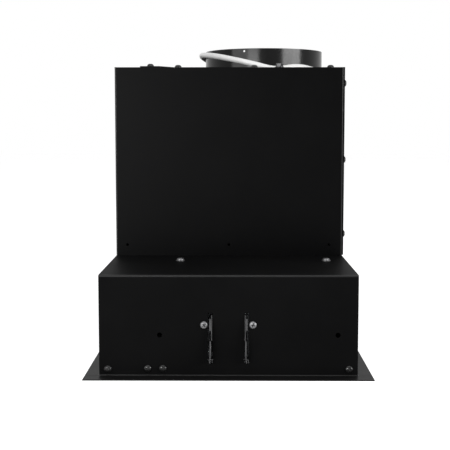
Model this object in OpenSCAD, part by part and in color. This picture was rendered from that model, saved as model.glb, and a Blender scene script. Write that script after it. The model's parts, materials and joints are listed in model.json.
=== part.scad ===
// Built-in range hood, standing on its mounting flange.
// X runs left to right, the user stands at -Y, Z is up, the origin is the centre of the flange's underside.

/* [Canopy] */
// Height of the ledge above the flange's underside
canopy_h = 101.5; // [92:0.5:130]
// Sheet thickness of canopy, panels and flange
sheet = 1; // [0.8:0.1:1.2]
// How far the flange stands out past each end
end_flange = 17; // [13:1:30]
// How far the flange stands out past front and rear
side_flange = 14.5; // [10:0.5:25]
// Open joint between neighbouring flange strips
seam = 0.4; // [0.2:0.1:0.8]
// Length of the air opening in the canopy roof
air_len = 300; // [200:1:320]
// Depth of the air opening in the canopy roof
air_dep = 200; // [150:1:220]
// Distance of the bright ledge screws from the canopy's ends
ledge_inset = 110; // [90:1:130]

/* [Blower box] */
// Length of the blower box, left to right
blower_len = 376; // [370:1:420]
// Height of the blower box above the ledge
blower_h = 211.5; // [210:0.5:240]
// Thickness of the rear cover
cover_t = 1.2; // [1:0.1:1.5]
// Thickness of the small service plate on the roof
service_t = 1.3; // [1:0.1:2]

/* [Duct collar] */
// Outer diameter of the duct collar
collar_d = 150; // [146:1:152]
// Wall of the collar at its mouth
collar_wall = 1; // [0.8:0.1:1.2]
// Height of the collar above the blower roof
collar_rise = 30; // [28:1:60]
// Distance of the collar's middle from the hood's rear
collar_inset = 84; // [82:1:90]
// Height of the collar's inner step above the blower roof
collar_step = 11; // [10:0.5:12]
// Diameter of the damper rod
rod_d = 4; // [3:0.5:5]
// Gap between the damper flaps and the collar
flap_gap = 0.8; // [0.5:0.1:1.5]

/* [Blower] */
// Outer radius of the impeller
fan_r = 72; // [66:1:74]
// Length of the impeller
fan_len = 132; // [110:1:140]
// Number of impeller blades
fan_blades = 40; // [24:1:48]
// Inner width of the scroll housing
scroll_w = 150; // [144:1:156]
// Radius of the scroll at its cut-off
scroll_r0 = 80; // [78:1:82]
// Radius of the scroll at its outlet wall
scroll_r1 = 128; // [124:1:129]
// Outer radius of the motor
motor_r = 42; // [36:1:46]
// Diameter of the motor shaft
shaft_d = 8; // [6:1:10]

/* [Underside] */
// Height of the under frame's lower face above the flange's underside
frame_z = 4; // [3:0.5:8]
// Length of each grease filter
filter_len = 320; // [300:1:321]
// Depth of each grease filter
filter_dep = 170; // [150:1:172]
// Thickness of each grease filter
filter_t = 10; // [9:0.5:14]
// Width of the under frame outside each filter
end_rail = 9.8; // [8:0.2:60]
// Depth of the strip in front of the filters that carries lamps and switch
control_dep = 70.8; // [70:0.2:110]
// Diameter of the filter hinge pins
pin_d = 4; // [3:0.5:5]
// Diameter of the lamp openings
lamp_d = 60; // [50:1:64]
// Distance of each lamp from the middle
lamp_x = 250; // [150:1:280]
// Width of a push button
button_w = 16.4; // [12:0.2:18]
// Depth of a push button
button_d = 12.4; // [10:0.2:14]
// Distance between push buttons
button_gap = 22; // [20.5:0.5:24]

/* [Side clips] */
// Distance of each clip fin from the middle
fin_y = 17.4; // [14:0.1:20]
// Thickness of a clip fin
fin_t = 1.5; // [1:0.1:2]
// How far a clip fin stands out of the end wall
fin_out = 11; // [8:0.5:13]

/* [Fasteners] */
// Diameter of the clearance holes for screws
hole_d = 4.4; // [4.2:0.1:5]
// Diameter of the screw shanks
screw_d = 4; // [3:0.1:4.1]
// Diameter of the holes for cabinet screws
cabinet_hole_d = 5; // [4:0.5:6]

/* [Cord] */
// Diameter of the mains cord
cord_d = 7; // [6:0.1:7.2]
// Radius of the coil's outermost turn
coil_r = 44.5; // [42:0.5:46]
// Distance between neighbouring turns of the coil
coil_pitch = 7.6; // [7.5:0.1:8]

/* [Hidden] */
$fn = 64;

// Clearances
fit = 0.2;
shaft_gap = 0.05;
touch_gap = 0.3;

// Rails and gaps round the filters, which give the canopy its length and depth
rail = 5;
rear_rail = 8.8;
filter_gap_x = 3;
filter_gap_y = 2;
inner_x = rail + 2 * filter_gap_x + filter_len + end_rail;
inner_y = (control_dep + 2 * filter_gap_y + filter_dep + rear_rail) / 2;

// Main planes
half_len = inner_x + fit + 2 * sheet;
half_dep = inner_y + fit + sheet;
blower_x = blower_len / 2;
roof_z = canopy_h + blower_h;
rim_z = roof_z + collar_rise;
step_z = roof_z + collar_step;
rear_y = half_dep + cover_t;

// Screws in the end walls, as distance from the middle and height
corner_inset = 8.7;
corner_z = 7.6;
pair_y = -72.4;
pair_pitch = 15;
pair_z = 8.2;
end_points = [
    [corner_inset - half_dep, corner_z],
    [half_dep - corner_inset, corner_z],
    [pair_y - pair_pitch / 2, pair_z],
    [pair_y + pair_pitch / 2, pair_z]
];
end_screw_len = 7;
lip_w = 15;

// Holes in the end walls for cabinet screws
cabinet_hole_y = 20;
cabinet_hole_pitch = 176;
cabinet_hole_z = 41.8;

// Screws on the ledge and the braces that they hold
ledge_x = half_len - ledge_inset;
ledge_y = [half_dep - 180.9, half_dep - 22.4];
brace_w = 30;
brace_drop = 12;
brace_over = 14;
washer_d = 10;
washer_t = 0.8;

// Side clips
slot_w = 4.6;
slot_y = fin_y + 0.5;
slot_low = 13;
slot_high = 64;
clip_screw_y = 24.1;
clip_screw_z = 52;
clip_base_t = 1.5;
clip_plate_t = 1.5;
fin_top = 61.7;
fin_low = 14.7;
fin_heel = 20;
fin_teeth = 4;

// Blower box
box_lip = 14;
rivet_hole_d = 3;
rivet_hole_y = [12.8 - half_dep, -0.2, half_dep - 14.9];
rivet_hole_z = canopy_h + 12.5;
cover_inset = 7;
cover_screw_z = [canopy_h + 24.6, canopy_h + 108.6, roof_z - 17.5];
roof_screw_y = [39.7 - half_dep, 70.7 - half_dep, 28.1, half_dep - 14.4];
roof_screw_front_x = [-110, 0, 110];
earth_y = 56.4;

// Service plate on the roof
service_near = blower_x - 1;
service_far = 110;
service_left = 28.5 - half_dep;
service_right = service_left + 49.5;
service_slant_x = 37;
service_slant_y = 28;
service_edge = 12;

// Duct collar
collar_y = half_dep - collar_inset;
collar_r = collar_d / 2;
bore_r = collar_r - collar_wall;
lower_r = bore_r - 0.6;
flange_r = collar_r + 13;
rod_z = roof_z + 6;
flap_r = lower_r - flap_gap;
flap_t = 0.8;
stop_z = rod_z - flap_t / 2 - touch_gap;
stop_w = 2;
stop_h = 1.6;
knuckle_r = 3.4;
knuckle_pitch = 16;
knuckle_l = knuckle_pitch - 2 * touch_gap;
fixing_r = collar_r + 8;
fixing_a = [29, 149, 269];
fixing_head_h = 3.2;
mouth_hole_a = -20.4;
mouth_hole_z = rim_z - 3.2;
mouth_rivet_a = 99.6;
mouth_rivet_z = rim_z - 6;

// Blower
fan_in_r = fan_r - 12;
tongue_a = 105;
fan_y = collar_y + collar_r - scroll_r1;
fan_z = canopy_h + scroll_r0 + (scroll_r1 - scroll_r0) * (270 - tongue_a) / (360 - tongue_a) + 2.5;
scroll_t = 1;
side_x = scroll_w / 2;
inlet_r = fan_in_r - 2;
lip_rise = 1.1;
scroll_top = roof_z - 2 * sheet;
motor_x0 = 12;
motor_x1 = 72;
motor_wall = 2;
rotor_r = motor_r * 0.56;
core_inset = 12;
arm_r = inlet_r + 10;
arm_a = [90, 210, 330];
bush_r = 6;
bush_t = 1.4;
arm_t = 2.5;
arm_w = 14;
band_t = 2.8;
band_l = 17;
arm_x = side_x + scroll_t + bush_t + 0.1;
motor_screw_d = 3.8;

// Electrical parts inside
capacitor_x = 130;
capacitor_r = 16;
capacitor_h = 60;
driver_size = [90, 28, 22];
driver_x = half_len - 59;
driver_y = 26 - half_dep;

// Underside
frame_t = 1;
rim_h = 8.5;
filter_rear = inner_y - rear_rail - filter_gap_y;
filter_front = filter_rear - filter_dep;
filter_x = rail + filter_gap_x + filter_len / 2;
filter_z = frame_z;
hinge_inset = 5;
hinge_y = filter_rear - hinge_inset;
hinge_z = filter_z + filter_t / 2;
ear_t = 1.5;
ear_w = 10;
front_rail = 28;
side_rail = 14;
filter_wall = 4;
channel_t = 1.2;
channel_d = 2;
mesh_t = 5;
mesh_play = 2;
mesh_cols = 15;
mesh_rows = 8;
mesh_bar = 2.4;
latch_w = 60;
latch_d = 15.7;
latch_travel = 5;
latch_t = 4;
tongue_w = 22;
tongue_out = 1.5;
strip_y = (filter_front - filter_gap_y - inner_y) / 2;
bezel_drop = 1.2;
lens_r = lamp_d / 2 - 2;
switch_len = 4 * button_gap + button_w + 8;
switch_hole_w = button_d + 8;
switch_wall = 1.5;
switch_h = 22;
board_z = frame_z + 18;
board_t = 1.6;
key_h = 0.4;
cap_edge = 1.2;
button_low_z = 1;
button_travel = 2.5;

// Cord and what holds it
exit_x = -120;
stem_x = exit_x - 30;
stem_r = 5.8;
exit_y = half_dep - 28;
exit_z = roof_z + 6;
cord_sides = 8;
entry_r = cord_d / 2 + 0.8;
// Route from the elbow to the collar, as offsets from the cord's exit
cord_lead = [
    [0, 0, 0], [3, 0, 0], [13, 0, -0.4], [26, 1.5, -1.4], [40, 5, -2.2],
    [55, 9.5, -2.3], [70, 14, -2.3], [85, 18.5, -2.3]
];
// Route round the collar, as angle, distance from the collar's middle and height above the roof
cord_wrap = [
    [104, 80, 3.7], [92, 80, 3.7], [80, 80, 3.7], [68, 80, 3.7], [57, 80, 4], [48, 80, 5],
    [40, 80, 6.5], [33, 80, 7.5], [25, 80, 7.4], [19, 80, 6.2], [13, 80, 5], [7, 80, 4.9],
    [1, 80, 6.3], [-8, 80, 9.7], [-20, 80, 13.8], [-32, 80, 17.4], [-44, 80, 20.6], [-56, 80, 23],
    [-68, 80, 24.7], [-80, 80, 25.6], [-92, 80, 25.6], [-104, 80, 24.2], [-116, 80, 21.2],
    [-127, 80, 17], [-138, 80, 12], [-150, 80, 7.5]
];
// Route from the collar to the coil, as offsets from the coil's middle
cord_run = [[57.1, -11.5, 5.4], [51, 0.4, 4.5], [46, 9.3, 4.2]];
// Route from the coil to the plug, as offsets from the coil's middle
cord_tail = [[-43, -20, 11.3], [-38.5, -32, 10.4], [-32.5, -43, 9.5], [-28, -53, 9]];
// Box under the roof where the cord comes in
wiring_size = [60, 56, 42];
wiring_at = [exit_x - 52, exit_y - 34, roof_z - sheet - wiring_size[2]];
coil_x = -132;
coil_y = collar_y - 18;
coil_z = roof_z + 4.2;
coil_climb = 7.6;
coil_in_a = 30;
coil_turn = 1230;
coil_steps = 82;
tie_w = 8;
tie_t = 0.6;
plug_x = coil_x - 26;
plug_y = coil_y - 68;
plug_z = roof_z + 8.9;
plug_w = 32;
plug_h = 17;
plug_l = 36;
relief_l = 28;
prong_l = 19;
prong_pitch = 9.5;

// Shared shapes
module slab(lo, hi) {
    translate(lo) cube(hi - lo);
}

module both_ends() {
    children();
    mirror([1, 0, 0]) children();
}

module along_x(length) {
    rotate([90, 0, 90]) linear_extrude(height = length, center = true) children();
}

module rod_x(r, x0, x1) {
    translate([x0, 0, 0]) rotate([0, 90, 0]) cylinder(r = r, h = x1 - x0);
}

module rod_y(r, y0, y1) {
    translate([0, y0, 0]) rotate([-90, 0, 0]) cylinder(r = r, h = y1 - y0);
}

module pan_screw(head_d, head_h, shank) {
    difference() {
        rotate_extrude()
            polygon([
                [0, -shank], [screw_d / 2, -shank], [screw_d / 2, 0], [head_d / 2, 0],
                [head_d / 2, head_h * 0.45], [head_d * 0.4, head_h * 0.85],
                [head_d * 0.22, head_h], [0, head_h]
            ]);
        for (turn = [45, 135])
            rotate(turn)
                translate([-head_d * 0.28, -0.5, head_h - 1]) cube([head_d * 0.56, 1, 2]);
    }
}

module hole_x(y, z, d) {
    translate([half_len - 10, y, z]) rotate([0, 90, 0]) cylinder(d = d, h = 20);
}

module end_screw_holes() {
    both_ends()
        for (p = end_points) hole_x(p[0], p[1], hole_d);
}

// Canopy
module canopy_shell() {
    color("#161616")
        difference() {
            union() {
                slab([-half_len, -half_dep, canopy_h - sheet], [half_len, half_dep, canopy_h]);
                both_ends() {
                    slab([half_len - sheet, -half_dep, 0], [half_len, half_dep, canopy_h]);
                    slab(
                        [half_len, -half_dep - side_flange, 0],
                        [half_len + end_flange, half_dep + side_flange, sheet]
                    );
                }
            }
            slab([-air_len / 2, -air_dep / 2, 0], [air_len / 2, air_dep / 2, canopy_h + 1]);
            end_screw_holes();
            both_ends() {
                for (end = [-1, 1]) {
                    hole_x(cabinet_hole_y + end * cabinet_hole_pitch / 2, cabinet_hole_z,
                        cabinet_hole_d);
                    hole_x(end * clip_screw_y, clip_screw_z, hole_d);
                    slab(
                        [half_len - 5, end * slot_y - slot_w / 2, slot_low],
                        [half_len + 5, end * slot_y + slot_w / 2, slot_high]
                    );
                }
                for (y = ledge_y)
                    translate([ledge_x, y, canopy_h - 5]) cylinder(d = hole_d, h = 10);
            }
        }
}

module side_panel() {
    difference() {
        union() {
            slab(
                [sheet - half_len, -half_dep, 0],
                [half_len - sheet, sheet - half_dep, canopy_h - sheet]
            );
            slab(
                [seam - half_len, -half_dep - side_flange, 0],
                [half_len - seam, -half_dep, sheet]
            );
            both_ends()
                slab(
                    [half_len - 2 * sheet, -half_dep, 2],
                    [half_len - sheet, lip_w - half_dep, canopy_h - 3]
                );
        }
        end_screw_holes();
    }
}

module front_panel() {
    color("#161616") side_panel();
}

module rear_panel() {
    color("#161616") mirror([0, 1, 0]) side_panel();
}

module end_screws() {
    color("#222222")
        both_ends()
            for (p = end_points)
                translate([half_len, p[0], p[1]]) rotate([0, 90, 0])
                    pan_screw(8, 2.6, end_screw_len);
}

module canopy_braces() {
    brace_front = ledge_y[0] - brace_over;
    brace_rear = ledge_y[1] + brace_over;
    brace_top = canopy_h - sheet;
    color("silver")
        both_ends()
            difference() {
                slab(
                    [ledge_x - brace_w / 2, brace_front, brace_top - brace_drop],
                    [ledge_x + brace_w / 2, brace_rear, brace_top]
                );
                slab(
                    [ledge_x - brace_w / 2 + sheet, brace_front - 1, brace_top - brace_drop - 1],
                    [ledge_x + brace_w / 2 - sheet, brace_rear + 1, brace_top - sheet]
                );
                for (y = ledge_y)
                    translate([ledge_x, y, brace_top - 5]) cylinder(d = hole_d, h = 10);
            }
}

module ledge_screws() {
    color("gainsboro")
        both_ends()
            for (y = ledge_y)
                translate([ledge_x, y, canopy_h])
                    union() {
                        difference() {
                            cylinder(d = washer_d, h = washer_t);
                            translate([0, 0, -1]) cylinder(d = hole_d, h = 1);
                        }
                        translate([0, 0, washer_t / 2]) pan_screw(8, 3, 8);
                    }
}

// Side clips
module clip_bases() {
    base_out = half_len - sheet;
    color("silver")
        both_ends()
            difference() {
                slab([base_out - clip_base_t, -30, 44], [base_out, 30, fin_top + 4]);
                for (end = [-1, 1]) {
                    hole_x(end * clip_screw_y, clip_screw_z, hole_d);
                    slab(
                        [base_out - 5, end * slot_y - slot_w / 2, 43],
                        [base_out + 5, end * slot_y + slot_w / 2, slot_high]
                    );
                }
            }
}

module fin_outline() {
    wall = half_len;
    tooth_h = 1.6;
    tooth_step = (24 - fin_low) / fin_teeth;
    polygon(concat(
        [[wall - 3, fin_heel], [wall - 3, fin_top], [wall + 1.2, fin_top - 1], [wall + fin_out, 30],
            [wall + fin_out, 26]],
        [for (i = [fin_teeth:-1:1]) each [
            [wall + 2 + (fin_out - 2) * i / fin_teeth - 0.2, fin_low + tooth_step * i],
            [wall + 2 + (fin_out - 2) * (i - 1) / fin_teeth + 0.6, fin_low + tooth_step * i - tooth_h]
        ]],
        [[wall + 1, fin_low]]
    ));
}

module clip_spring() {
    plate_out = half_len - sheet - clip_base_t - touch_gap;
    union() {
        slab(
            [plate_out - clip_plate_t, -fin_y - fin_t / 2, fin_heel],
            [plate_out, fin_y + fin_t / 2, fin_top]
        );
        for (end = [-1, 1])
            translate([0, end * fin_y + fin_t / 2, 0])
                rotate([90, 0, 0]) linear_extrude(height = fin_t) fin_outline();
        for (end = [-1, 1])
            slab(
                [plate_out - clip_plate_t, end * fin_y - fin_t / 2, fin_heel],
                [half_len - 2, end * fin_y + fin_t / 2, fin_top]
            );
    }
}

module clip_spring_left() {
    color("silver") mirror([1, 0, 0]) clip_spring();
}

module clip_spring_right() {
    color("silver") clip_spring();
}

module clip_screws() {
    color("gainsboro")
        both_ends()
            for (end = [-1, 1])
                translate([half_len, end * clip_screw_y, clip_screw_z])
                    rotate([0, 90, 0]) pan_screw(7.9, 2.4, 6);
}

// Blower box
module blower_box() {
    lip_z = roof_z - sheet;
    foot_z = canopy_h + sheet;
    color("#161616")
        difference() {
            union() {
                slab([-blower_x, -half_dep, canopy_h], [blower_x, sheet - half_dep, lip_z]);
                slab([-blower_x, -half_dep, lip_z - sheet], [blower_x, box_lip - half_dep, lip_z]);
                slab([-blower_x, -half_dep, canopy_h], [blower_x, box_lip - half_dep, foot_z]);
                both_ends() {
                    slab([blower_x - sheet, -half_dep, canopy_h], [blower_x, half_dep, lip_z]);
                    slab([blower_x - box_lip, -half_dep, lip_z - sheet], [blower_x, half_dep, lip_z]);
                    slab([blower_x - box_lip, -half_dep, canopy_h], [blower_x, half_dep, foot_z]);
                    slab([blower_x - box_lip, half_dep - sheet, canopy_h], [blower_x, half_dep, lip_z]);
                }
            }
            both_ends()
                for (y = rivet_hole_y)
                    translate([blower_x - 5, y, rivet_hole_z])
                        rotate([0, 90, 0]) cylinder(d = rivet_hole_d, h = 10);
            cover_screw_holes();
            roof_screw_holes();
        }
}

module cover_screw_holes() {
    both_ends()
        for (z = cover_screw_z)
            translate([blower_x - cover_inset, 0, z]) rod_y(hole_d / 2, half_dep - 8, rear_y + 1);
}

roof_points = concat(
    [for (end = [-1, 1], y = roof_screw_y)
        [end * (blower_x - cover_inset), y, end > 0 && y == roof_screw_y[0] ? service_t : 0]],
    [for (x = roof_screw_front_x) [x, cover_inset - half_dep, 0]]
);

module roof_screw_holes() {
    for (p = roof_points)
        translate([p[0], p[1], roof_z - 8]) cylinder(d = hole_d, h = 12);
    translate([blower_x - cover_inset, earth_y, roof_z - 8]) cylinder(d = hole_d, h = 12);
}

module rear_cover() {
    color("#1a1a1a")
        difference() {
            slab([-blower_x, half_dep, canopy_h + 1], [blower_x, rear_y, roof_z]);
            cover_screw_holes();
        }
}

module rear_cover_screws() {
    color("#222222")
        both_ends()
            for (z = cover_screw_z)
                translate([blower_x - cover_inset, rear_y, z]) rotate([-90, 0, 0])
                    pan_screw(7.5, 2.4, 6);
}

module blower_roof() {
    color("#161616")
        difference() {
            slab([-blower_x, -half_dep, roof_z - sheet], [blower_x, half_dep, roof_z]);
            translate([0, collar_y, roof_z - 5]) cylinder(r = collar_r + fit, h = 10);
            translate([0, collar_y, 0])
                for (a = fixing_a)
                    rotate(a) translate([fixing_r, 0, roof_z - 5]) cylinder(d = hole_d, h = 10);
            translate([stem_x, exit_y, roof_z - 5]) cylinder(r = stem_r + fit, h = 10);
            slab(
                [service_far + service_edge, service_left + service_edge, roof_z - 5],
                [service_near - service_slant_x - 6, service_right - service_edge, roof_z + 5]
            );
            roof_screw_holes();
        }
}

module roof_screws() {
    color("#222222")
        for (p = roof_points)
            translate([p[0], p[1], roof_z + p[2]]) pan_screw(7.5, 3, 6 + p[2]);
}

module earth_screw() {
    color("dimgray")
        translate([blower_x - cover_inset, earth_y, roof_z])
            union() {
                cylinder(d = 10, h = 1);
                translate([0, 0, 1]) cylinder(d = 8, h = 3.6, $fn = 6);
                translate([0, 0, -6]) cylinder(d = screw_d, h = 6.5);
            }
}

module service_body() {
    translate([0, 0, roof_z])
        linear_extrude(height = service_t)
            polygon([
                [service_near, service_left], [service_near, service_right - service_slant_y],
                [service_near - service_slant_x, service_right], [service_far, service_right],
                [service_far, service_left]
            ]);
}

module service_plate() {
    color("#1a1a1a")
        difference() {
            service_body();
            translate([blower_x - cover_inset, roof_screw_y[0], roof_z - 1])
                cylinder(d = hole_d, h = 5);
        }
}

// Duct collar and damper
module duct_collar() {
    low_z = roof_z - 2 * sheet;
    color("#101010")
        difference() {
            translate([0, collar_y, 0])
                rotate_extrude($fn = 128)
                    polygon([
                        [lower_r, low_z], [flange_r, low_z], [flange_r, low_z + sheet],
                        [collar_r, low_z + sheet], [collar_r, rim_z], [bore_r, rim_z],
                        [bore_r, step_z], [lower_r, step_z], [lower_r, stop_z],
                        [lower_r - stop_w, stop_z], [lower_r - stop_w, stop_z - stop_h],
                        [lower_r, stop_z - stop_h]
                    ]);
            slab(
                [-flange_r, half_dep - sheet, 0],
                [flange_r, collar_y + flange_r, roof_z - 0.01]
            );
            translate([0, collar_y, rod_z]) rod_y(rod_d / 2 + shaft_gap, -flange_r, flange_r);
            translate([0, collar_y, 0]) {
                for (a = fixing_a)
                    rotate(a) translate([fixing_r, 0, low_z - 5]) cylinder(d = hole_d, h = 10);
                rotate(mouth_hole_a) translate([bore_r - 5, 0, mouth_hole_z])
                    rotate([0, 90, 0]) cylinder(d = 2.6, h = 10);
                rotate(mouth_rivet_a) translate([bore_r - 5, 0, mouth_rivet_z])
                    rotate([0, 90, 0]) cylinder(d = 3.4, h = 10);
            }
        }
}

module collar_fixings() {
    color("#222222")
        translate([0, collar_y, 0]) {
            for (a = fixing_a)
                rotate(a) translate([fixing_r, 0, roof_z])
                    union() {
                        cylinder(d = 8, h = fixing_head_h, $fn = 24);
                        translate([0, 0, -7]) cylinder(d = screw_d, h = 7.5);
                    }
            rotate(mouth_rivet_a) translate([bore_r + 0.1, 0, mouth_rivet_z])
                rotate([0, 90, 0])
                    union() {
                        cylinder(d = 3.2, h = collar_wall);
                        translate([0, 0, collar_wall]) cylinder(d1 = 6, d2 = 4.4, h = 1.6);
                    }
        }
}

module damper_rod() {
    color("silver")
        translate([0, collar_y, rod_z]) rod_y(rod_d / 2, -collar_r, collar_r);
}

module damper_flap(places) {
    blade_x = knuckle_r - 1;
    clear_x = knuckle_r + 0.6;
    translate([0, collar_y, rod_z])
        difference() {
            union() {
                intersection() {
                    translate([0, 0, -flap_t / 2]) cylinder(r = flap_r, h = flap_t, $fn = 128);
                    slab([clear_x, -flap_r, -1], [flap_r, flap_r, 1]);
                }
                for (place = places)
                    translate([0, place * knuckle_pitch, 0]) {
                        rod_y(knuckle_r, -knuckle_l / 2, knuckle_l / 2);
                        slab(
                            [blade_x, -knuckle_l / 2, -flap_t / 2],
                            [clear_x + 1, knuckle_l / 2, flap_t / 2]
                        );
                    }
            }
            rod_y(rod_d / 2 + shaft_gap, -flap_r, flap_r);
        }
}

module damper_flap_near() {
    color("#202020") damper_flap([-2.5, -0.5, 2.5]);
}

module damper_flap_far() {
    color("#202020")
        mirror([1, 0, 0]) damper_flap([-3.5, -1.5, 1.5]);
}

// Scroll housing, with its axis along X
function spiral(a, extra) =
    let (r = scroll_r0 + (scroll_r1 - scroll_r0) * (a - tongue_a) / (360 - tongue_a) + extra)
    [fan_y + r * cos(a), fan_z + r * sin(a)];

tongue_y = spiral(tongue_a, 0)[0];
tongue_z = spiral(tongue_a, 0)[1];
throat_y = fan_y + scroll_r1;
spiral_n = 51;
spiral_a = [for (i = [0:spiral_n]) tongue_a + i * (360 - tongue_a) / spiral_n];

module scroll_outline(extra) {
    polygon(concat(
        [for (i = [1:spiral_n]) spiral(spiral_a[i], extra)],
        [
            [throat_y + extra, scroll_top], [tongue_y - extra, scroll_top],
            [tongue_y - extra, tongue_z + 0.8 * extra]
        ]
    ));
}

module scroll_wrap() {
    color("lightgray")
        along_x(scroll_w)
            polygon(concat(
                [[tongue_y, scroll_top]],
                [for (a = spiral_a) spiral(a, 0)],
                [[throat_y, scroll_top], [throat_y + scroll_t, scroll_top]],
                [for (i = [spiral_n:-1:1]) spiral(spiral_a[i], scroll_t)],
                [
                    [tongue_y - scroll_t, tongue_z + 0.8 * scroll_t],
                    [tongue_y - scroll_t, scroll_top]
                ]
            ));
}

module scroll_side() {
    difference() {
        union() {
            translate([side_x + scroll_t / 2, 0, 0]) along_x(scroll_t) scroll_outline(scroll_t);
            slab(
                [side_x, tongue_y - scroll_t, scroll_top - scroll_t],
                [side_x + box_lip, throat_y + scroll_t, scroll_top]
            );
            translate([side_x, fan_y, fan_z]) rod_x(inlet_r + 3, 0, scroll_t + lip_rise);
        }
        translate([0, fan_y, fan_z]) rod_x(inlet_r, side_x - 5, side_x + 10);
        translate([0, fan_y, fan_z])
            for (a = arm_a)
                rotate([a, 0, 0]) translate([0, arm_r, 0]) rod_x(2.2, side_x - 5, side_x + 10);
    }
}

module scroll_side_left() {
    color("lightgray") mirror([1, 0, 0]) scroll_side();
}

module scroll_side_right() {
    color("lightgray") scroll_side();
}

module at_fan() {
    translate([0, fan_y, fan_z]) children();
}

module impeller() {
    ring_t = 2;
    hub_r = 12;
    color("gainsboro")
        at_fan()
            difference() {
                union() {
                    along_x(fan_len)
                        for (i = [0:fan_blades - 1])
                            rotate(i * 360 / fan_blades) translate([(fan_r + fan_in_r) / 2, 0])
                                rotate(-28) square([11.5, 0.8], center = true);
                    for (x = [-fan_len / 2, fan_len / 2 - ring_t])
                        difference() {
                            rod_x(fan_r, x, x + ring_t);
                            rod_x(fan_in_r, x - 1, x + ring_t + 1);
                        }
                    rod_x(fan_r, -0.75, 0.75);
                    rod_x(hub_r, -14, 6);
                }
                rod_x(shaft_d / 2 + 0.02, -20, 20);
            }
}

module motor_shaft() {
    color("silver") at_fan() rod_x(shaft_d / 2, -18, motor_x1 + 6);
}

module motor_rotor() {
    color("dimgray")
        at_fan()
            difference() {
                rod_x(rotor_r, motor_x0 + core_inset, motor_x1 - core_inset);
                rod_x(shaft_d / 2 + 0.02, 0, side_x);
            }
}

module motor_can() {
    color("darkgray")
        at_fan()
            difference() {
                rod_x(motor_r, motor_x0, motor_x1);
                rod_x(motor_r - motor_wall, motor_x0 + motor_wall, motor_x1 - motor_wall);
                rod_x(shaft_d / 2 + shaft_gap, 0, side_x);
            }
}

module motor_stator() {
    color("peru")
        at_fan()
            difference() {
                rod_x(motor_r - motor_wall - 0.1, motor_x0 + core_inset, motor_x1 - core_inset);
                rod_x(rotor_r + 0.6, 0, side_x);
            }
}

module motor_bracket() {
    color("silver")
        at_fan()
            difference() {
                union() {
                    rod_x(motor_r + band_t, arm_x - band_l, arm_x + arm_t);
                    for (a = arm_a)
                        rotate([a, 0, 0])
                            slab(
                                [arm_x, motor_r, -arm_w / 2],
                                [arm_x + arm_t, arm_r + bush_r + 2, arm_w / 2]
                            );
                }
                rod_x(motor_r + 0.1, 0, 2 * side_x);
                for (a = arm_a)
                    rotate([a, 0, 0]) translate([0, arm_r, 0]) rod_x(bush_r - 1.9, 0, 2 * side_x);
            }
}

module motor_bushes() {
    color("#303030")
        at_fan()
            for (a = arm_a)
                rotate([a, 0, 0]) translate([0, arm_r, 0])
                    difference() {
                        union() {
                            rod_x(bush_r, arm_x - bush_t, arm_x);
                            rod_x(bush_r - 2, arm_x - bush_t, arm_x + arm_t + bush_t);
                            rod_x(bush_r, arm_x + arm_t, arm_x + arm_t + bush_t);
                        }
                        rod_x(2.1, 0, 2 * side_x);
                    }
}

module motor_screws() {
    head_x = arm_x + arm_t + bush_t;
    color("gainsboro")
        at_fan()
            for (a = arm_a)
                rotate([a, 0, 0]) translate([0, arm_r, 0])
                    union() {
                        rod_x(motor_screw_d / 2, side_x - 4, head_x + 1);
                        rod_x(4, head_x, head_x + 2.6);
                    }
}

module capacitor() {
    color("whitesmoke")
        translate([capacitor_x, sheet - half_dep + capacitor_r + fit, canopy_h + 48])
            union() {
                cylinder(r = capacitor_r, h = capacitor_h);
                for (x = [-6, 4]) translate([x, -3, capacitor_h - 1]) cube([2, 6, 9]);
                translate([-12, -capacitor_r, 20]) cube([24, 8, 14]);
            }
}

module wiring_box() {
    color("silver")
        difference() {
            translate(wiring_at) cube(wiring_size);
            translate(wiring_at + [sheet, sheet, sheet]) cube(wiring_size - [2 * sheet, 2 * sheet, 0]);
        }
}

module terminal_block() {
    block = [46, 18, 15];
    color("ivory")
        translate(wiring_at + [6, 6, sheet])
            difference() {
                cube(block);
                for (i = [0:3])
                    translate([7 + i * 10.6, block[1] / 2, 5]) cylinder(d = 5, h = block[2], $fn = 24);
            }
}

module led_driver() {
    driver = driver_size;
    foot = [driver[0] + 14, 12, 2];
    color("whitesmoke")
        translate([-driver_x, driver_y, canopy_h - sheet])
            union() {
                translate([-driver[0] / 2, -driver[1] / 2, -driver[2]]) cube(driver);
                translate([-foot[0] / 2, -foot[1] / 2, -foot[2]]) cube(foot);
            }
}

// Underside
module under_frame() {
    ear_z = hinge_z + 4;
    pin_in = filter_gap_x + filter_wall;
    plate_top = frame_z + frame_t;
    color("#1c1c1c")
        union() {
            difference() {
                slab([-inner_x, -inner_y, frame_z], [inner_x, inner_y, frame_z + rim_h]);
                slab(
                    [frame_t - inner_x, frame_t - inner_y, plate_top],
                    [inner_x - frame_t, inner_y - frame_t, frame_z + rim_h + 1]
                );
                both_ends() {
                    slab(
                        [rail, filter_front - filter_gap_y, 0],
                        [filter_x + filter_len / 2 + filter_gap_x, filter_rear + filter_gap_y, 30]
                    );
                    translate([lamp_x, strip_y, 0]) cylinder(d = lamp_d, h = 30);
                    for (p = end_points) hole_x(p[0], p[1], hole_d);
                }
                slab(
                    [-switch_len / 2, strip_y - switch_hole_w / 2, 0],
                    [switch_len / 2, strip_y + switch_hole_w / 2, 30]
                );
            }
            both_ends() {
                for (far = [0, 1])
                    translate([far * 2 * filter_x, 0, 0]) mirror([far, 0, 0]) {
                        slab(
                            [rail - ear_t, hinge_y - ear_w / 2, plate_top - 0.5],
                            [rail, hinge_y + ear_w / 2, ear_z]
                        );
                        translate([0, hinge_y, hinge_z]) rod_x(pin_d / 2, rail - 1, rail + pin_in);
                    }
            }
        }
}

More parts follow.
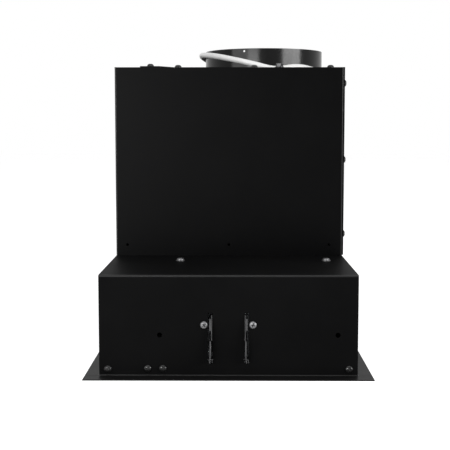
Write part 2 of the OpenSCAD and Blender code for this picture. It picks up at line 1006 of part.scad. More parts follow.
module filter_frame() {
    x0 = filter_x - filter_len / 2;
    x1 = filter_x + filter_len / 2;
    z1 = filter_z + filter_t;
    latch_y = filter_front + filter_wall + touch_gap;
    difference() {
        slab([x0, filter_front, filter_z], [x1, filter_rear, z1]);
        slab(
            [x0 + side_rail, filter_front + front_rail, filter_z - 1],
            [x1 - side_rail, filter_rear - side_rail, z1 + 1]
        );
        slab(
            [x0 + filter_wall, filter_front + front_rail - channel_d, filter_z + channel_t],
            [x1 - filter_wall, filter_rear - filter_wall, z1 - channel_t]
        );
        slab(
            [filter_x - latch_w / 2 - touch_gap, filter_front + filter_wall, filter_z - 1],
            [filter_x + latch_w / 2 + touch_gap, latch_y + latch_d + latch_travel + touch_gap,
                z1 - filter_wall / 2]
        );
        slab(
            [filter_x - tongue_w / 2 - touch_gap, filter_front - 1, filter_z + 2 - touch_gap],
            [filter_x + tongue_w / 2 + touch_gap, filter_front + filter_wall + 1,
                filter_z + latch_t + touch_gap]
        );
        translate([0, hinge_y, hinge_z]) {
            rod_x(pin_d / 2 + shaft_gap, x0 - 1, x0 + filter_wall + touch_gap);
            rod_x(pin_d / 2 + shaft_gap, x1 - filter_wall - touch_gap, x1 + 1);
        }
    }
}

module filter_mesh() {
    x0 = filter_x - filter_len / 2 + filter_wall + mesh_play;
    x1 = filter_x + filter_len / 2 - filter_wall - mesh_play;
    y0 = filter_front + front_rail - channel_d + touch_gap;
    y1 = filter_rear - filter_wall - mesh_play;
    z0 = filter_z + (filter_t - mesh_t) / 2;
    step_x = (x1 - x0 - mesh_bar) / mesh_cols;
    step_y = (y1 - y0 - mesh_bar) / mesh_rows;
    translate([0, 0, z0])
        linear_extrude(height = mesh_t)
            difference() {
                translate([x0, y0]) square([x1 - x0, y1 - y0]);
                for (i = [0:mesh_cols - 1], j = [0:mesh_rows - 1])
                    translate([x0 + mesh_bar + i * step_x, y0 + mesh_bar + j * step_y])
                        square([step_x - mesh_bar, step_y - mesh_bar]);
            }
}

module filter_latch() {
    y0 = filter_front + filter_wall + touch_gap;
    difference() {
        union() {
            slab(
                [filter_x - latch_w / 2, y0, filter_z + 1],
                [filter_x + latch_w / 2, y0 + latch_d, filter_z + 1 + latch_t]
            );
            slab(
                [filter_x - tongue_w / 2, filter_front - tongue_out, filter_z + 2],
                [filter_x + tongue_w / 2, y0 + 1, filter_z + latch_t]
            );
        }
        slab(
            [filter_x - latch_w / 2 + 8, y0 + 4, filter_z],
            [filter_x + latch_w / 2 - 8, y0 + latch_d - 4, filter_z + 3]
        );
    }
}

module filter_frame_left() {
    color("silver") mirror([1, 0, 0]) filter_frame();
}

module filter_frame_right() {
    color("silver") filter_frame();
}

module filter_mesh_left() {
    color("gainsboro") mirror([1, 0, 0]) filter_mesh();
}

module filter_mesh_right() {
    color("gainsboro") filter_mesh();
}

module filter_latch_left() {
    color("#202020") mirror([1, 0, 0]) filter_latch();
}

module filter_latch_right() {
    color("#202020") filter_latch();
}

module at_lamps() {
    both_ends() translate([lamp_x, strip_y, 0]) children();
}

module lamp_bezels() {
    color("silver")
        at_lamps()
            rotate_extrude()
                polygon([
                    [lens_r - 3, frame_z - bezel_drop], [lamp_d / 2 + 3, frame_z - bezel_drop],
                    [lamp_d / 2 + 4, frame_z], [lamp_d / 2 - fit, frame_z],
                    [lamp_d / 2 - fit, frame_z + 14], [lens_r + fit, frame_z + 14],
                    [lens_r + fit, frame_z], [lens_r - 3, frame_z]
                ]);
}

module lamp_lenses() {
    color("white") at_lamps() translate([0, 0, frame_z]) cylinder(r = lens_r, h = 2.5);
}

module lamp_boards() {
    color("gold") at_lamps() translate([0, 0, frame_z + 12]) cylinder(r = lens_r, h = 1.6);
}

module switch_bezel() {
    hole_w = button_w / 2 + touch_gap;
    side_cut = (button_w - button_d) / 2;
    color("#202020")
        difference() {
            slab(
                [-switch_len / 2 - 5, strip_y - switch_hole_w / 2 - 4, frame_z - bezel_drop],
                [switch_len / 2 + 5, strip_y + switch_hole_w / 2 + 4, frame_z]
            );
            for (i = [-2:2])
                slab(
                    [i * button_gap - hole_w, strip_y - hole_w + side_cut, 0],
                    [i * button_gap + hole_w, strip_y + hole_w - side_cut, frame_z + 1]
                );
        }
}

module switch_body() {
    half_w = switch_hole_w / 2;
    color("#303030")
        difference() {
            slab(
                [-switch_len / 2 - 2, strip_y - half_w - 2, frame_z + frame_t],
                [switch_len / 2 + 2, strip_y + half_w + 2, frame_z + frame_t + switch_h]
            );
            slab(
                [-switch_len / 2 + fit, strip_y - half_w + fit, 0],
                [switch_len / 2 - fit, strip_y + half_w - fit, frame_z + switch_h - switch_wall]
            );
        }
}

module control_board() {
    half_w = switch_hole_w / 2;
    color("darkgreen")
        union() {
            slab(
                [-switch_len / 2 + 2 * fit, strip_y - half_w + 2 * fit, board_z],
                [switch_len / 2 - 2 * fit, strip_y + half_w - 2 * fit, board_z + board_t]
            );
            for (i = [-2:2])
                translate([i * button_gap, strip_y, board_z])
                    slab([-3, -3, -key_h], [3, 3, board_t / 2]);
        }
}

module push_button(i) {
    cap_top = frame_z + touch_gap;
    stem_top = board_z - key_h - button_travel - touch_gap;
    half_w = button_w / 2;
    half_d = button_d / 2;
    color("#d8d8d8")
        translate([i * button_gap, strip_y, 0])
            union() {
                slab([-half_w, -half_d, button_low_z], [half_w, half_d, cap_top + 1]);
                slab(
                    [-half_w - cap_edge, -half_d - cap_edge, cap_top],
                    [half_w + cap_edge, half_d + cap_edge, cap_top + 1.5]
                );
                slab([-3, -3, cap_top], [3, 3, stem_top]);
            }
}

module button_off() { push_button(-2); }
module button_low() { push_button(-1); }
module button_medium() { push_button(0); }
module button_high() { push_button(1); }
module button_light() { push_button(2); }

// Cord: a tube swept along points, with flat ends
function unit(v) = v / norm(v);
function heading(p, i) =
    i == 0 ? unit(p[1] - p[0])
    : i == len(p) - 1 ? unit(p[i] - p[i - 1])
    : unit(unit(p[i] - p[i - 1]) + unit(p[i + 1] - p[i]));
function ring(p, i, r, sides) =
    let (
        t = heading(p, i),
        side = unit(cross([0, 0, 1], t)),
        up = cross(t, side)
    )
    [for (k = [0:sides - 1])
        p[i] + r * (cos((k + 0.5) * 360 / sides) * side + sin((k + 0.5) * 360 / sides) * up)];

module tube(p, r, sides) {
    count = len(p);
    points = [for (i = [0:count - 1]) each ring(p, i, r, sides)];
    first = [for (k = [sides - 1:-1:0]) k];
    last = [for (k = [0:sides - 1]) (count - 1) * sides + k];
    walls = [for (i = [0:count - 2], k = [0:sides - 1])
        let (a = i * sides + k, b = i * sides + (k + 1) % sides)
        each [[a, b, b + sides], [a, b + sides, a + sides]]];
    caps = [for (cap = [first, last], k = [1:sides - 2]) [cap[0], cap[k], cap[k + 1]]];
    polyhedron(points = points, faces = concat(caps, walls));
}

function on_collar(w) = [w[1] * cos(w[0]), collar_y + w[1] * sin(w[0]), roof_z + w[2]];
function coil_radius(t) = coil_r - coil_pitch / 360 * (t < coil_turn / 2 ? t : coil_turn - t);
function coil_lift(t) =
    let (s = (t - coil_turn / 2 + 90) / 180, c = max(0, min(1, s)))
    coil_climb * c * c * (3 - 2 * c);
function coil_point(t) =
    let (a = coil_in_a + t, r = coil_radius(t))
    [coil_x + r * cos(a), coil_y + r * sin(a), coil_z + coil_lift(t)];
coil_in_dir = [-sin(coil_in_a), cos(coil_in_a), 0];
coil_out_dir = [-sin(coil_in_a + coil_turn), cos(coil_in_a + coil_turn), 0];
coil_start = coil_point(0) - cord_d * coil_in_dir;
coil_end = coil_point(coil_turn) + cord_d * coil_out_dir;
coil_mid = [coil_x, coil_y, roof_z];
exit_point = [exit_x, exit_y, exit_z];
coil_path = concat(
    [coil_start],
    [for (i = [0:coil_steps]) coil_point(i * coil_turn / coil_steps)],
    [coil_end]
);
function to_segment(p, a, b) =
    let (d = b - a, k = max(0, min(1, (p - a) * d / (d * d))))
    norm(p - a - k * d);
function path_length(p, i = 1) = i < len(p) ? norm(p[i] - p[i - 1]) + path_length(p, i + 1) : 0;
// Least gap between turns of the coil, measured from each point to every stretch a third of a turn on
coil_gap = min([
    for (i = [0:len(coil_path) - 1], j = [i + 8:1:len(coil_path) - 2])
        to_segment(coil_path[i], coil_path[j], coil_path[j + 1])
]) - cord_d;
plug_entry = [plug_x, plug_y, plug_z];
lead_path = concat(
    [for (q = cord_lead) exit_point + q],
    [for (w = cord_wrap) on_collar(w)],
    [for (q = cord_run) coil_mid + q],
    [coil_start - 3 * coil_in_dir, coil_start]
);
tail_path = concat(
    [coil_end, coil_end + 3 * coil_out_dir],
    [for (q = cord_tail) coil_mid + q],
    [plug_entry + [0, 5, 0], plug_entry]
);

echo(coil_gap = coil_gap);
echo(cord_length = path_length(lead_path) + path_length(coil_path) + path_length(tail_path));

module power_cord() {
    color("#e6e6e6") {
        tube(lead_path, cord_d / 2, cord_sides);
        tube(tail_path, cord_d / 2, cord_sides);
    }
}

module cord_coil() {
    color("#e6e6e6") tube(coil_path, cord_d / 2, 6);
}

module cord_tie() {
    tie_in = coil_r - coil_pitch / 360 * coil_turn / 2 - cord_d / 2 - 1;
    tie_out = coil_r - coil_pitch * (270 - coil_in_a) / 360 + cord_d / 2 + 1.3;
    tie_low = roof_z + 0.05;
    tie_high = coil_z + coil_climb + cord_d / 2 + tie_t + touch_gap;
    color("#404040")
        difference() {
            slab(
                [coil_x - tie_w / 2, coil_y - tie_out, tie_low],
                [coil_x + tie_w / 2, coil_y - tie_in, tie_high]
            );
            slab(
                [coil_x - tie_w, coil_y - tie_out + tie_t, tie_low + tie_t],
                [coil_x + tie_w, coil_y - tie_in - tie_t, tie_high - tie_t]
            );
        }
}

module cord_elbow() {
    color("#e0e0e0")
        union() {
            slab([stem_x - 9, exit_y - 8, roof_z], [stem_x + 10, exit_y + 8, exit_z + 7]);
            translate([0, exit_y, exit_z]) rotate([0, 90, 0])
                translate([0, 0, stem_x + 9]) cylinder(r1 = stem_r, r2 = entry_r, h = 21);
            translate([stem_x, exit_y, roof_z - 14]) cylinder(r = stem_r, h = 15);
            translate([stem_x, exit_y, roof_z - sheet - 5]) cylinder(r = stem_r + 3.2, h = 4.9);
        }
}

module power_plug() {
    corner_r = 6;
    body_y = plug_y - relief_l - plug_l;
    color("#e0e0e0")
        translate([plug_x, 0, plug_z])
            union() {
                translate([0, plug_y, 0]) rotate([90, 0, 0])
                    cylinder(r1 = entry_r, r2 = 6.4, h = relief_l + 0.5);
                hull()
                    for (x = [corner_r - plug_w / 2, plug_w / 2 - corner_r])
                        for (z = [corner_r - plug_h / 2, plug_h / 2 - corner_r])
                            translate([x, 0, z]) rod_y(corner_r, body_y, body_y + plug_l, $fn = 24);
                for (x = [-prong_pitch, 0, prong_pitch])
                    translate([x, 0, 0]) rod_y(2, body_y - prong_l, body_y + 1);
            }
}

canopy_shell();
front_panel();
rear_panel();
end_screws();
canopy_braces();
ledge_screws();
clip_bases();
clip_spring_left();
clip_spring_right();
clip_screws();
blower_box();
rear_cover();
rear_cover_screws();
blower_roof();
roof_screws();
earth_screw();
service_plate();
duct_collar();
collar_fixings();
damper_rod();
damper_flap_near();
damper_flap_far();
scroll_wrap();
scroll_side_left();
scroll_side_right();
impeller();
motor_shaft();
motor_rotor();
motor_can();
motor_stator();
motor_bracket();
motor_bushes();
motor_screws();
capacitor();
wiring_box();
terminal_block();
led_driver();
under_frame();
filter_frame_left();
filter_frame_right();
filter_mesh_left();
filter_mesh_right();
filter_latch_left();
filter_latch_right();
lamp_bezels();
lamp_lenses();
lamp_boards();
switch_bezel();
switch_body();
control_board();
button_off();
button_low();
button_medium();
button_high();
button_light();
cord_elbow();
power_cord();
cord_coil();
cord_tie();
power_plug();
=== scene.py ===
import json
import math
import random

import bmesh
import bpy
from mathutils import Matrix, Vector


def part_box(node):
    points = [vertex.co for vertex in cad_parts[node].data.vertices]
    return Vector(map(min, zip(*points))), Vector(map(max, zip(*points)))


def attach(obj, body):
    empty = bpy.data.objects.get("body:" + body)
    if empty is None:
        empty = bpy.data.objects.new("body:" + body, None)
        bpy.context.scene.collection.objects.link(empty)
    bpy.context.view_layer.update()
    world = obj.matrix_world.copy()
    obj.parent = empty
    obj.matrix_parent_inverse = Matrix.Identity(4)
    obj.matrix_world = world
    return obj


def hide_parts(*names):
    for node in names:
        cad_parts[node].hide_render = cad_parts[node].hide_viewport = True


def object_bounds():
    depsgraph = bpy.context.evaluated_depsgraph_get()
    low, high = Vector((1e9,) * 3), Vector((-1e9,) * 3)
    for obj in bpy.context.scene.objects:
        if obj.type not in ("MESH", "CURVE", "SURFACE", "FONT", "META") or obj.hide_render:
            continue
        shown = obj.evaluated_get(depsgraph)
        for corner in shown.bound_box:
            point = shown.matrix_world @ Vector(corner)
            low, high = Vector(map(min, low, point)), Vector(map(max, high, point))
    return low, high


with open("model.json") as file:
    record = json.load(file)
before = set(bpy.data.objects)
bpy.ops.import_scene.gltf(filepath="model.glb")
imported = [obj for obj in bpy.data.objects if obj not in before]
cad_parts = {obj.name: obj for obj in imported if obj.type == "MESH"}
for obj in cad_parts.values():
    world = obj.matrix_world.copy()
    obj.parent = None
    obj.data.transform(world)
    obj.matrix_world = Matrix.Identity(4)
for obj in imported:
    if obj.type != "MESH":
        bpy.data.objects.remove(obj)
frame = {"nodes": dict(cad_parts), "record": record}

cad_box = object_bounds()
nodes = frame["nodes"]
slots = {part["node"]: part["material_slot"] for part in frame["record"]["subparts"]}
replaced = set()
chance = random.Random(7)

MM = 0.001
X, Y, Z = 0, 1, 2
ENDS = (1, -1)


def box_mm(node):
    """The low and high corner of a node's box in millimetres."""
    return [[c / MM for c in corner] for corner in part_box(node)]


def high_corner(node):
    """The high corner of a node's box in millimetres, to a tenth."""
    return [round(c, 1) for c in box_mm(node)[1]]


# Sheet and flange, repeated from the part's source
SHEET, END_FLANGE = 1, 17

# Sizes of the boxes, taken from the frame in millimetres
HALF_LEN = high_corner("canopy_shell")[X] - END_FLANGE
LEDGE = high_corner("canopy_shell")[Z]
BLOWER_X, HALF_DEP = high_corner("blower_box")[:2]
ROOF, RIM = high_corner("blower_roof")[Z], high_corner("duct_collar")[Z]
SERVICE_T = round(high_corner("service_plate")[Z] - ROOF, 1)

# Collar and cord, repeated from the part's source
COLLAR_Y, COLLAR_R = 44, 75
CORD_D = 7
EXIT = Vector((-120, 100, 319))
PLUG = Vector((-158, -42, 321.9))
COIL = Vector((-132, 26, 317.2))
COIL_R, COIL_PITCH, COIL_TURN, COIL_START, COIL_CLIMB = 44.5, 7.6, 1230, 30, 180

# How bright the floor and the world are: the floor to eye and gloss, the world to the object
FLOOR_GLOW = 0.69
WORLD_FILL = 0.3


def metres(x, y, z):
    """A point given in millimetres."""
    return Vector((x * MM, y * MM, z * MM))


def show(name, data):
    """A new object in the scene."""
    obj = bpy.data.objects.new(name, data)
    bpy.context.scene.collection.objects.link(obj)
    return obj


# Camera, fitted to the photograph
CAMERA_PLACE = metres(1320.8, 4.7, 243.1)
CAMERA_TILT, CAMERA_TURN = 0.094, -0.00825
camera = show("camera", bpy.data.cameras.new("camera"))
camera.data.lens = 80.48
camera.data.sensor_width = 36
camera.data.clip_start = 0.05
camera.data.clip_end = 50
camera.location = CAMERA_PLACE
camera.rotation_euler = Vector((
    -math.cos(CAMERA_TURN) * math.cos(CAMERA_TILT),
    math.sin(CAMERA_TURN) * math.cos(CAMERA_TILT),
    -math.sin(CAMERA_TILT),
)).to_track_quat("-Z", "Y").to_euler()
bpy.context.scene.camera = camera


# Material nodes
NOISE_LOW, NOISE_HIGH = 0.25, 0.75
ROUGH_SWING = 0.06


def new_material(name):
    """Returns a new material, its node tree, its shader and the object's coordinates."""
    mat = bpy.data.materials.new(name)
    mat.use_nodes = True
    tree = mat.node_tree
    tree.nodes.clear()
    out = tree.nodes.new("ShaderNodeOutputMaterial")
    shader = tree.nodes.new("ShaderNodeBsdfPrincipled")
    tree.links.new(shader.outputs["BSDF"], out.inputs["Surface"])
    coords = tree.nodes.new("ShaderNodeTexCoord")
    return mat, tree, shader, coords.outputs["Object"]


def calc(tree, operation, *values):
    """The result of a Math node on sockets and plain numbers."""
    node = tree.nodes.new("ShaderNodeMath")
    node.operation = operation
    for socket, value in zip(node.inputs, values):
        if isinstance(value, bpy.types.NodeSocket):
            tree.links.new(value, socket)
        else:
            socket.default_value = value
    return node.outputs[0]


def spread(tree, value, low, high, start=0, stop=1):
    """Maps a value from start to stop onto low to high."""
    node = tree.nodes.new("ShaderNodeMapRange")
    for name, number in (("From Min", start), ("From Max", stop), ("To Min", low), ("To Max", high)):
        node.inputs[name].default_value = number
    tree.links.new(value, node.inputs["Value"])
    return node.outputs["Result"]


def stretched(tree, coords, scale):
    mapping = tree.nodes.new("ShaderNodeMapping")
    mapping.inputs["Scale"].default_value = scale
    tree.links.new(coords, mapping.inputs["Vector"])
    return mapping.outputs["Vector"]


def noise(tree, coords, scale, detail):
    node = tree.nodes.new("ShaderNodeTexNoise")
    node.inputs["Scale"].default_value = scale
    node.inputs["Detail"].default_value = detail
    node.inputs["Roughness"].default_value = 0.55
    tree.links.new(coords, node.inputs["Vector"])
    return node.outputs["Fac"]


def ramp(tree, value, low_at, low, high_at, high):
    node = tree.nodes.new("ShaderNodeValToRGB")
    for element, place, colour in zip(node.color_ramp.elements, (low_at, high_at), (low, high)):
        element.position = place
        element.color = (*colour, 1)
    tree.links.new(value, node.inputs["Fac"])
    return node.outputs["Color"]


def see_background(tree):
    """1 for rays that see the background: the camera's own, and those through gloss and glass."""
    rays = tree.nodes.new("ShaderNodeLightPath").outputs
    either = calc(tree, "MAXIMUM", rays["Is Glossy Ray"], rays["Is Transmission Ray"])
    return calc(tree, "MAXIMUM", rays["Is Camera Ray"], either)


# Finishes of the object: a cloud for the colour, and a fine grain for the relief
CLOUD_DETAIL, GRAIN_DETAIL, CLOUD_LOW, CLOUD_HIGH = 5, 3, 0.3, 0.7
materials = {}


def finish(name, low, high, rough, metal=0.0, level=0.5, grain=500, stretch=(1, 1, 1), smear=14,
           relief=0.1, depth=0.0002):
    """A paint, plastic or metal: cloudy colour from low to high, uneven roughness, fine relief."""
    materials[name], tree, shader, coords = new_material(name)
    shader.inputs["Metallic"].default_value = metal
    shader.inputs["Specular IOR Level"].default_value = level
    cloud = noise(tree, coords, smear, CLOUD_DETAIL)
    fine = noise(tree, stretched(tree, coords, stretch), grain, GRAIN_DETAIL)
    colour = ramp(tree, cloud, CLOUD_LOW, low, CLOUD_HIGH, high)
    tree.links.new(colour, shader.inputs["Base Color"])
    mixed = calc(tree, "MULTIPLY_ADD", fine, 0.5, calc(tree, "MULTIPLY", cloud, 0.5))
    tree.links.new(
        spread(tree, mixed, rough - ROUGH_SWING, rough + ROUGH_SWING, NOISE_LOW, NOISE_HIGH),
        shader.inputs["Roughness"],
    )
    bump = tree.nodes.new("ShaderNodeBump")
    bump.inputs["Strength"].default_value = relief
    bump.inputs["Distance"].default_value = depth
    tree.links.new(fine, bump.inputs["Height"])
    tree.links.new(bump.outputs["Normal"], shader.inputs["Normal"])


# Paints, darker and less glossy than real ones because the world that they reflect is white
finish("black_paint", (0.0008, 0.0008, 0.0009), (0.0014, 0.0014, 0.0015), 0.38, level=0.04, grain=620,
       relief=0.12)
finish("canopy_paint", (0.003, 0.003, 0.0031), (0.0042, 0.0042, 0.0043), 0.5, level=0.012, grain=620,
       relief=0.12)
# A lighter, glossier copy of the canopy paint for the flange faces: a painted reflection of the bright
# surroundings
finish("flange_reflection_paint", (0.0045, 0.0045, 0.0046), (0.006, 0.006, 0.0061), 0.46, level=0.075, grain=620,
       relief=0.12)
# A glossier copy of the paint on the bends, which paints a highlight along each bend
finish("bend_highlight_paint", (0.0015, 0.0015, 0.0016), (0.003, 0.003, 0.0031), 0.36, level=0.22, grain=900,
       smear=60, relief=0.2)
finish("black_gloss", (0.001, 0.001, 0.001), (0.002, 0.002, 0.002), 0.18, level=0.17, grain=300,
       relief=0.04)
finish("black_screw", (0.003, 0.003, 0.003), (0.008, 0.008, 0.0082), 0.2, level=0.3, grain=1500,
       smear=200, relief=0.06, depth=0.0001)

# Metals
finish("zinc", (0.3, 0.305, 0.31), (0.44, 0.445, 0.45), 0.34, metal=1, grain=900, smear=60, relief=0.05)
finish("dull_zinc", (0.03, 0.03, 0.031), (0.06, 0.06, 0.061), 0.36, metal=1, grain=900, smear=160,
       relief=0.08, depth=0.0001)
finish("bright_screw", (0.11, 0.11, 0.113), (0.17, 0.17, 0.173), 0.42, metal=1, grain=1200, smear=150,
       relief=0.06, depth=0.0001)
finish("recess_shade", (0.02, 0.02, 0.021), (0.035, 0.035, 0.036), 0.5, metal=1, grain=1200, smear=150,
       relief=0.06, depth=0.0001)
finish("spring_steel", (0.045, 0.045, 0.046), (0.075, 0.075, 0.076), 0.34, metal=1, grain=700,
       stretch=(1, 1, 0.05), smear=90, relief=0.08)
finish("aluminium", (0.6, 0.61, 0.62), (0.74, 0.75, 0.76), 0.34, metal=1, grain=900,
       stretch=(0.04, 1, 1), smear=40, relief=0.08)
finish("mesh", (0.5, 0.51, 0.52), (0.72, 0.73, 0.74), 0.36, metal=1, grain=1600, smear=220)
finish("galvanised", (0.4, 0.41, 0.42), (0.6, 0.61, 0.62), 0.4, metal=1, grain=300, smear=90,
       relief=0.05)
finish("steel", (0.45, 0.45, 0.45), (0.6, 0.6, 0.6), 0.25, metal=1, grain=900, stretch=(0.06, 1, 1),
       relief=0.05)
finish("lamination", (0.16, 0.16, 0.17), (0.3, 0.3, 0.31), 0.45, metal=1, grain=1900,
       stretch=(1, 0.03, 0.03), relief=0.3)
finish("winding", (0.35, 0.12, 0.04), (0.55, 0.22, 0.08), 0.3, metal=0.6, grain=1500,
       stretch=(0.05, 1, 1), relief=0.4)

# Plastics and rubber
finish("rubber", (0.012, 0.012, 0.012), (0.025, 0.025, 0.025), 0.7, level=0.3, grain=1400, relief=0.2)
finish("dark_plastic", (0.014, 0.014, 0.015), (0.022, 0.022, 0.023), 0.48, level=0.35, grain=1700,
       relief=0.25, depth=0.0001)
finish("button_plastic", (0.38, 0.385, 0.39), (0.43, 0.435, 0.44), 0.36, grain=1800, relief=0.12,
       depth=0.0001)
finish("white_plastic", (0.7, 0.7, 0.69), (0.77, 0.77, 0.76), 0.38, grain=1500, relief=0.12,
       depth=0.0001)
finish("cord_jacket", (0.7, 0.7, 0.695), (0.76, 0.76, 0.755), 0.36, grain=900, smear=60)
finish("lens", (0.8, 0.8, 0.79), (0.86, 0.86, 0.85), 0.42, grain=700)
finish("terminal", (0.66, 0.63, 0.55), (0.74, 0.71, 0.62), 0.42, grain=1500, relief=0.12)

# Boards
finish("led_board", (0.72, 0.71, 0.66), (0.8, 0.79, 0.74), 0.4, grain=900, relief=0.08)
finish("led_chip", (0.75, 0.55, 0.06), (0.85, 0.65, 0.1), 0.35, grain=2500)
finish("circuit_board", (0.01, 0.09, 0.035), (0.02, 0.16, 0.06), 0.35, grain=400, stretch=(1, 0.2, 1),
       smear=160, relief=0.2)


# Floor and world, white to the rays that see the background
FLOOR_HALF = 9


def floor_paper():
    """Pale paper that glows round the hood but not under it, and that is clear from below."""
    mat, tree, shader, coords = new_material("floor_paper")
    shader.inputs["Roughness"].default_value = 0.9
    shader.inputs["Specular IOR Level"].default_value = 0.1
    shader.inputs["Emission Color"].default_value = (1, 1, 1, 1)
    pale = ramp(tree, noise(tree, coords, 3, 4), 0, (0.9, 0.9, 0.9), 1, (0.92, 0.92, 0.92))
    tree.links.new(pale, shader.inputs["Base Color"])
    place = tree.nodes.new("ShaderNodeSeparateXYZ")
    tree.links.new(coords, place.inputs["Vector"])
    beyond = [
        calc(tree, "GREATER_THAN", calc(tree, "ABSOLUTE", place.outputs[axis]), half)
        for axis, half in zip("XY", cad_box[1])
    ]
    glow = calc(tree, "MULTIPLY", calc(tree, "MAXIMUM", *beyond), see_background(tree))
    tree.links.new(spread(tree, glow, 0, FLOOR_GLOW), shader.inputs["Emission Strength"])
    # The lamp below the floor shines through it onto the underside
    side = tree.nodes.new("ShaderNodeNewGeometry")
    path = tree.nodes.new("ShaderNodeLightPath")
    clear = tree.nodes.new("ShaderNodeBsdfTransparent")
    mix = tree.nodes.new("ShaderNodeMixShader")
    open_floor = calc(tree, "MAXIMUM", side.outputs["Backfacing"], path.outputs["Is Shadow Ray"])
    tree.links.new(open_floor, mix.inputs["Fac"])
    tree.links.new(shader.outputs["BSDF"], mix.inputs[1])
    tree.links.new(clear.outputs["BSDF"], mix.inputs[2])
    tree.links.new(mix.outputs["Shader"], tree.nodes["Material Output"].inputs["Surface"])
    return mat


floor_mesh = bpy.data.meshes.new("floor")
floor_mesh.from_pydata(
    [(x * FLOOR_HALF, y * FLOOR_HALF, 0) for x, y in ((-1, -1), (1, -1), (1, 1), (-1, 1))],
    [], [(0, 1, 2, 3)],
)
floor_mesh.materials.append(floor_paper())
show("floor", floor_mesh)

world = bpy.data.worlds.new("studio")
world.use_nodes = True
bpy.context.scene.world = world
backdrop = world.node_tree.nodes["Background"]
backdrop.inputs["Color"].default_value = (1, 1, 1, 1)
world.node_tree.links.new(
    spread(world.node_tree, see_background(world.node_tree), WORLD_FILL, 1), backdrop.inputs["Strength"]
)
bpy.context.scene.view_settings.view_transform = "Standard"


# Lamps: places, targets and sizes in metres, power in watts
def lamp(name, place, target, size, power):
    data = bpy.data.lights.new(name, "AREA")
    data.shape = "RECTANGLE"
    data.size, data.size_y = size
    data.energy = power
    obj = show(name, data)
    obj.location = place
    obj.rotation_euler = (Vector(target) - Vector(place)).to_track_quat("-Z", "Y").to_euler()


lamp("overhead", (0.2, 0, 2.4), (0, 0, 0.2), (2.6, 2.6), 13)
lamp("edge_strip", (1.7, 0, 1.9), (0.3, 0, 0.15), (1.8, 0.25), 9)
lamp("key_box", (2.0, -0.76, 0.34), (0.2, -0.05, 0.2), (0.8, 0.3), 17)
lamp("left_box", (1.4, -1.56, 0.5), (0, 0.05, 0.3), (1.2, 0.3), 6)
lamp("right_box", (1.22, 1.7, 0.5), (0, 0.05, 0.3), (1.4, 0.3), 27)
lamp("underside_box", (0.2, -0.3, -1.6), (0, 0, 0), (1.6, 1.2), 8)


# Pieces and meshes
def put(name, mesh, slot, body="hood", stands_for=(), finishes=(), angle=35):
    """Puts a mesh in the scene as a piece that rides on a body."""
    obj = show(name, mesh)
    if not mesh.materials:
        for finish_name in finishes or (slot,):
            mesh.materials.append(materials[finish_name])
    if angle:
        mesh.polygons.foreach_set("use_smooth", [True] * len(mesh.polygons))
        mesh.set_sharp_from_angle(angle=math.radians(angle))
    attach(obj, body)
    if stands_for:
        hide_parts(*stands_for)
        replaced.update(stands_for)
    return obj


def mesh_of(name, bm, scale=MM):
    """A mesh in metres from a bmesh in millimetres."""
    bm.transform(Matrix.Scale(scale, 4))
    mesh = bpy.data.meshes.new(name)
    bmesh.ops.recalc_face_normals(bm, faces=bm.faces)
    bm.to_mesh(mesh)
    bm.free()
    return mesh


def copies(name, template, places):
    """One mesh of several copies of a template."""
    bm = bmesh.new()
    for place in places:
        part = template.copy()
        part.transform(place)
        bm.from_mesh(part)
    mesh = bpy.data.meshes.new(name)
    bm.to_mesh(mesh)
    bm.free()
    return mesh


def cut(mesh, cutter, operation="DIFFERENCE"):
    """A copy of a mesh with another closed mesh cut out of it, or joined to it."""
    made = [show("cut_host", mesh), show("cutter", cutter)]
    step = made[0].modifiers.new("cut", "BOOLEAN")
    step.operation = operation
    step.solver = "EXACT"
    step.object = made[1]
    shape = made[0].evaluated_get(bpy.context.evaluated_depsgraph_get())
    result = bpy.data.meshes.new_from_object(shape)
    for obj in made:
        bpy.data.objects.remove(obj)
    return result


def soften(bm, width, segments, angle=30, verts=None):
    """Rounds the sharp edges of a bmesh, or of some of its points."""
    bmesh.ops.recalc_face_normals(bm, faces=bm.faces)
    chosen = set(verts or bm.verts)
    edges = [
        edge for edge in bm.edges
        if len(edge.link_faces) == 2 and edge.calc_face_angle(0) > math.radians(angle)
        and chosen.issuperset(edge.verts)
    ]
    bmesh.ops.bevel(bm, geom=edges, offset=width, segments=segments, profile=0.5, affect="EDGES",
                    clamp_overlap=True)


def lathe(bm, profile, sides=32, matrix=Matrix()):
    """Turns points of radius and height round Z.

    The form is closed by a radius of 0 at each end, or by a last point equal to the first.
    """
    rings = []
    for r, z in profile:
        if rings and (r, z) == profile[0]:
            rings.append(rings[0])
            break
        angles = [2 * math.pi * k / sides for k in range(sides if r else 1)]
        rings.append([
            bm.verts.new(matrix @ Vector((r * math.cos(a), r * math.sin(a), z))) for a in angles
        ])
    for low, high in zip(rings, rings[1:]):
        for k in range(sides):
            n = (k + 1) % sides
            if len(low) == 1:
                bm.faces.new((low[0], high[k], high[n]))
            elif len(high) == 1:
                bm.faces.new((low[k], low[n], high[0]))
            else:
                bm.faces.new((low[k], low[n], high[n], high[k]))


def outline(width, height, radius, steps=6):
    """Points of a rectangle with round corners."""
    far_x, far_y = width / 2 - radius, height / 2 - radius
    centres = ((far_x, far_y), (-far_x, far_y), (-far_x, -far_y), (far_x, -far_y))
    points = []
    for quarter, (x, y) in enumerate(centres):
        for i in range(steps + 1):
            a = math.radians(90 * quarter + 90 * i / steps)
            points.append((x + radius * math.cos(a), y + radius * math.sin(a)))
    return points


def loft(bm, sections, matrix=Matrix()):
    """Joins closed outlines of equal count, given as points and a height, and caps both ends."""
    rings = [[bm.verts.new(matrix @ Vector((x, y, z))) for x, y in points] for points, z in sections]
    join(bm, rings)


def join(bm, rings):
    """Joins rings of points of equal count with faces, and caps both ends."""
    for low, high in zip(rings, rings[1:]):
        for k in range(len(low)):
            n = (k + 1) % len(low)
            bm.faces.new((low[k], low[n], high[n], high[k]))
    bm.faces.new(rings[0][::-1])
    bm.faces.new(rings[-1])


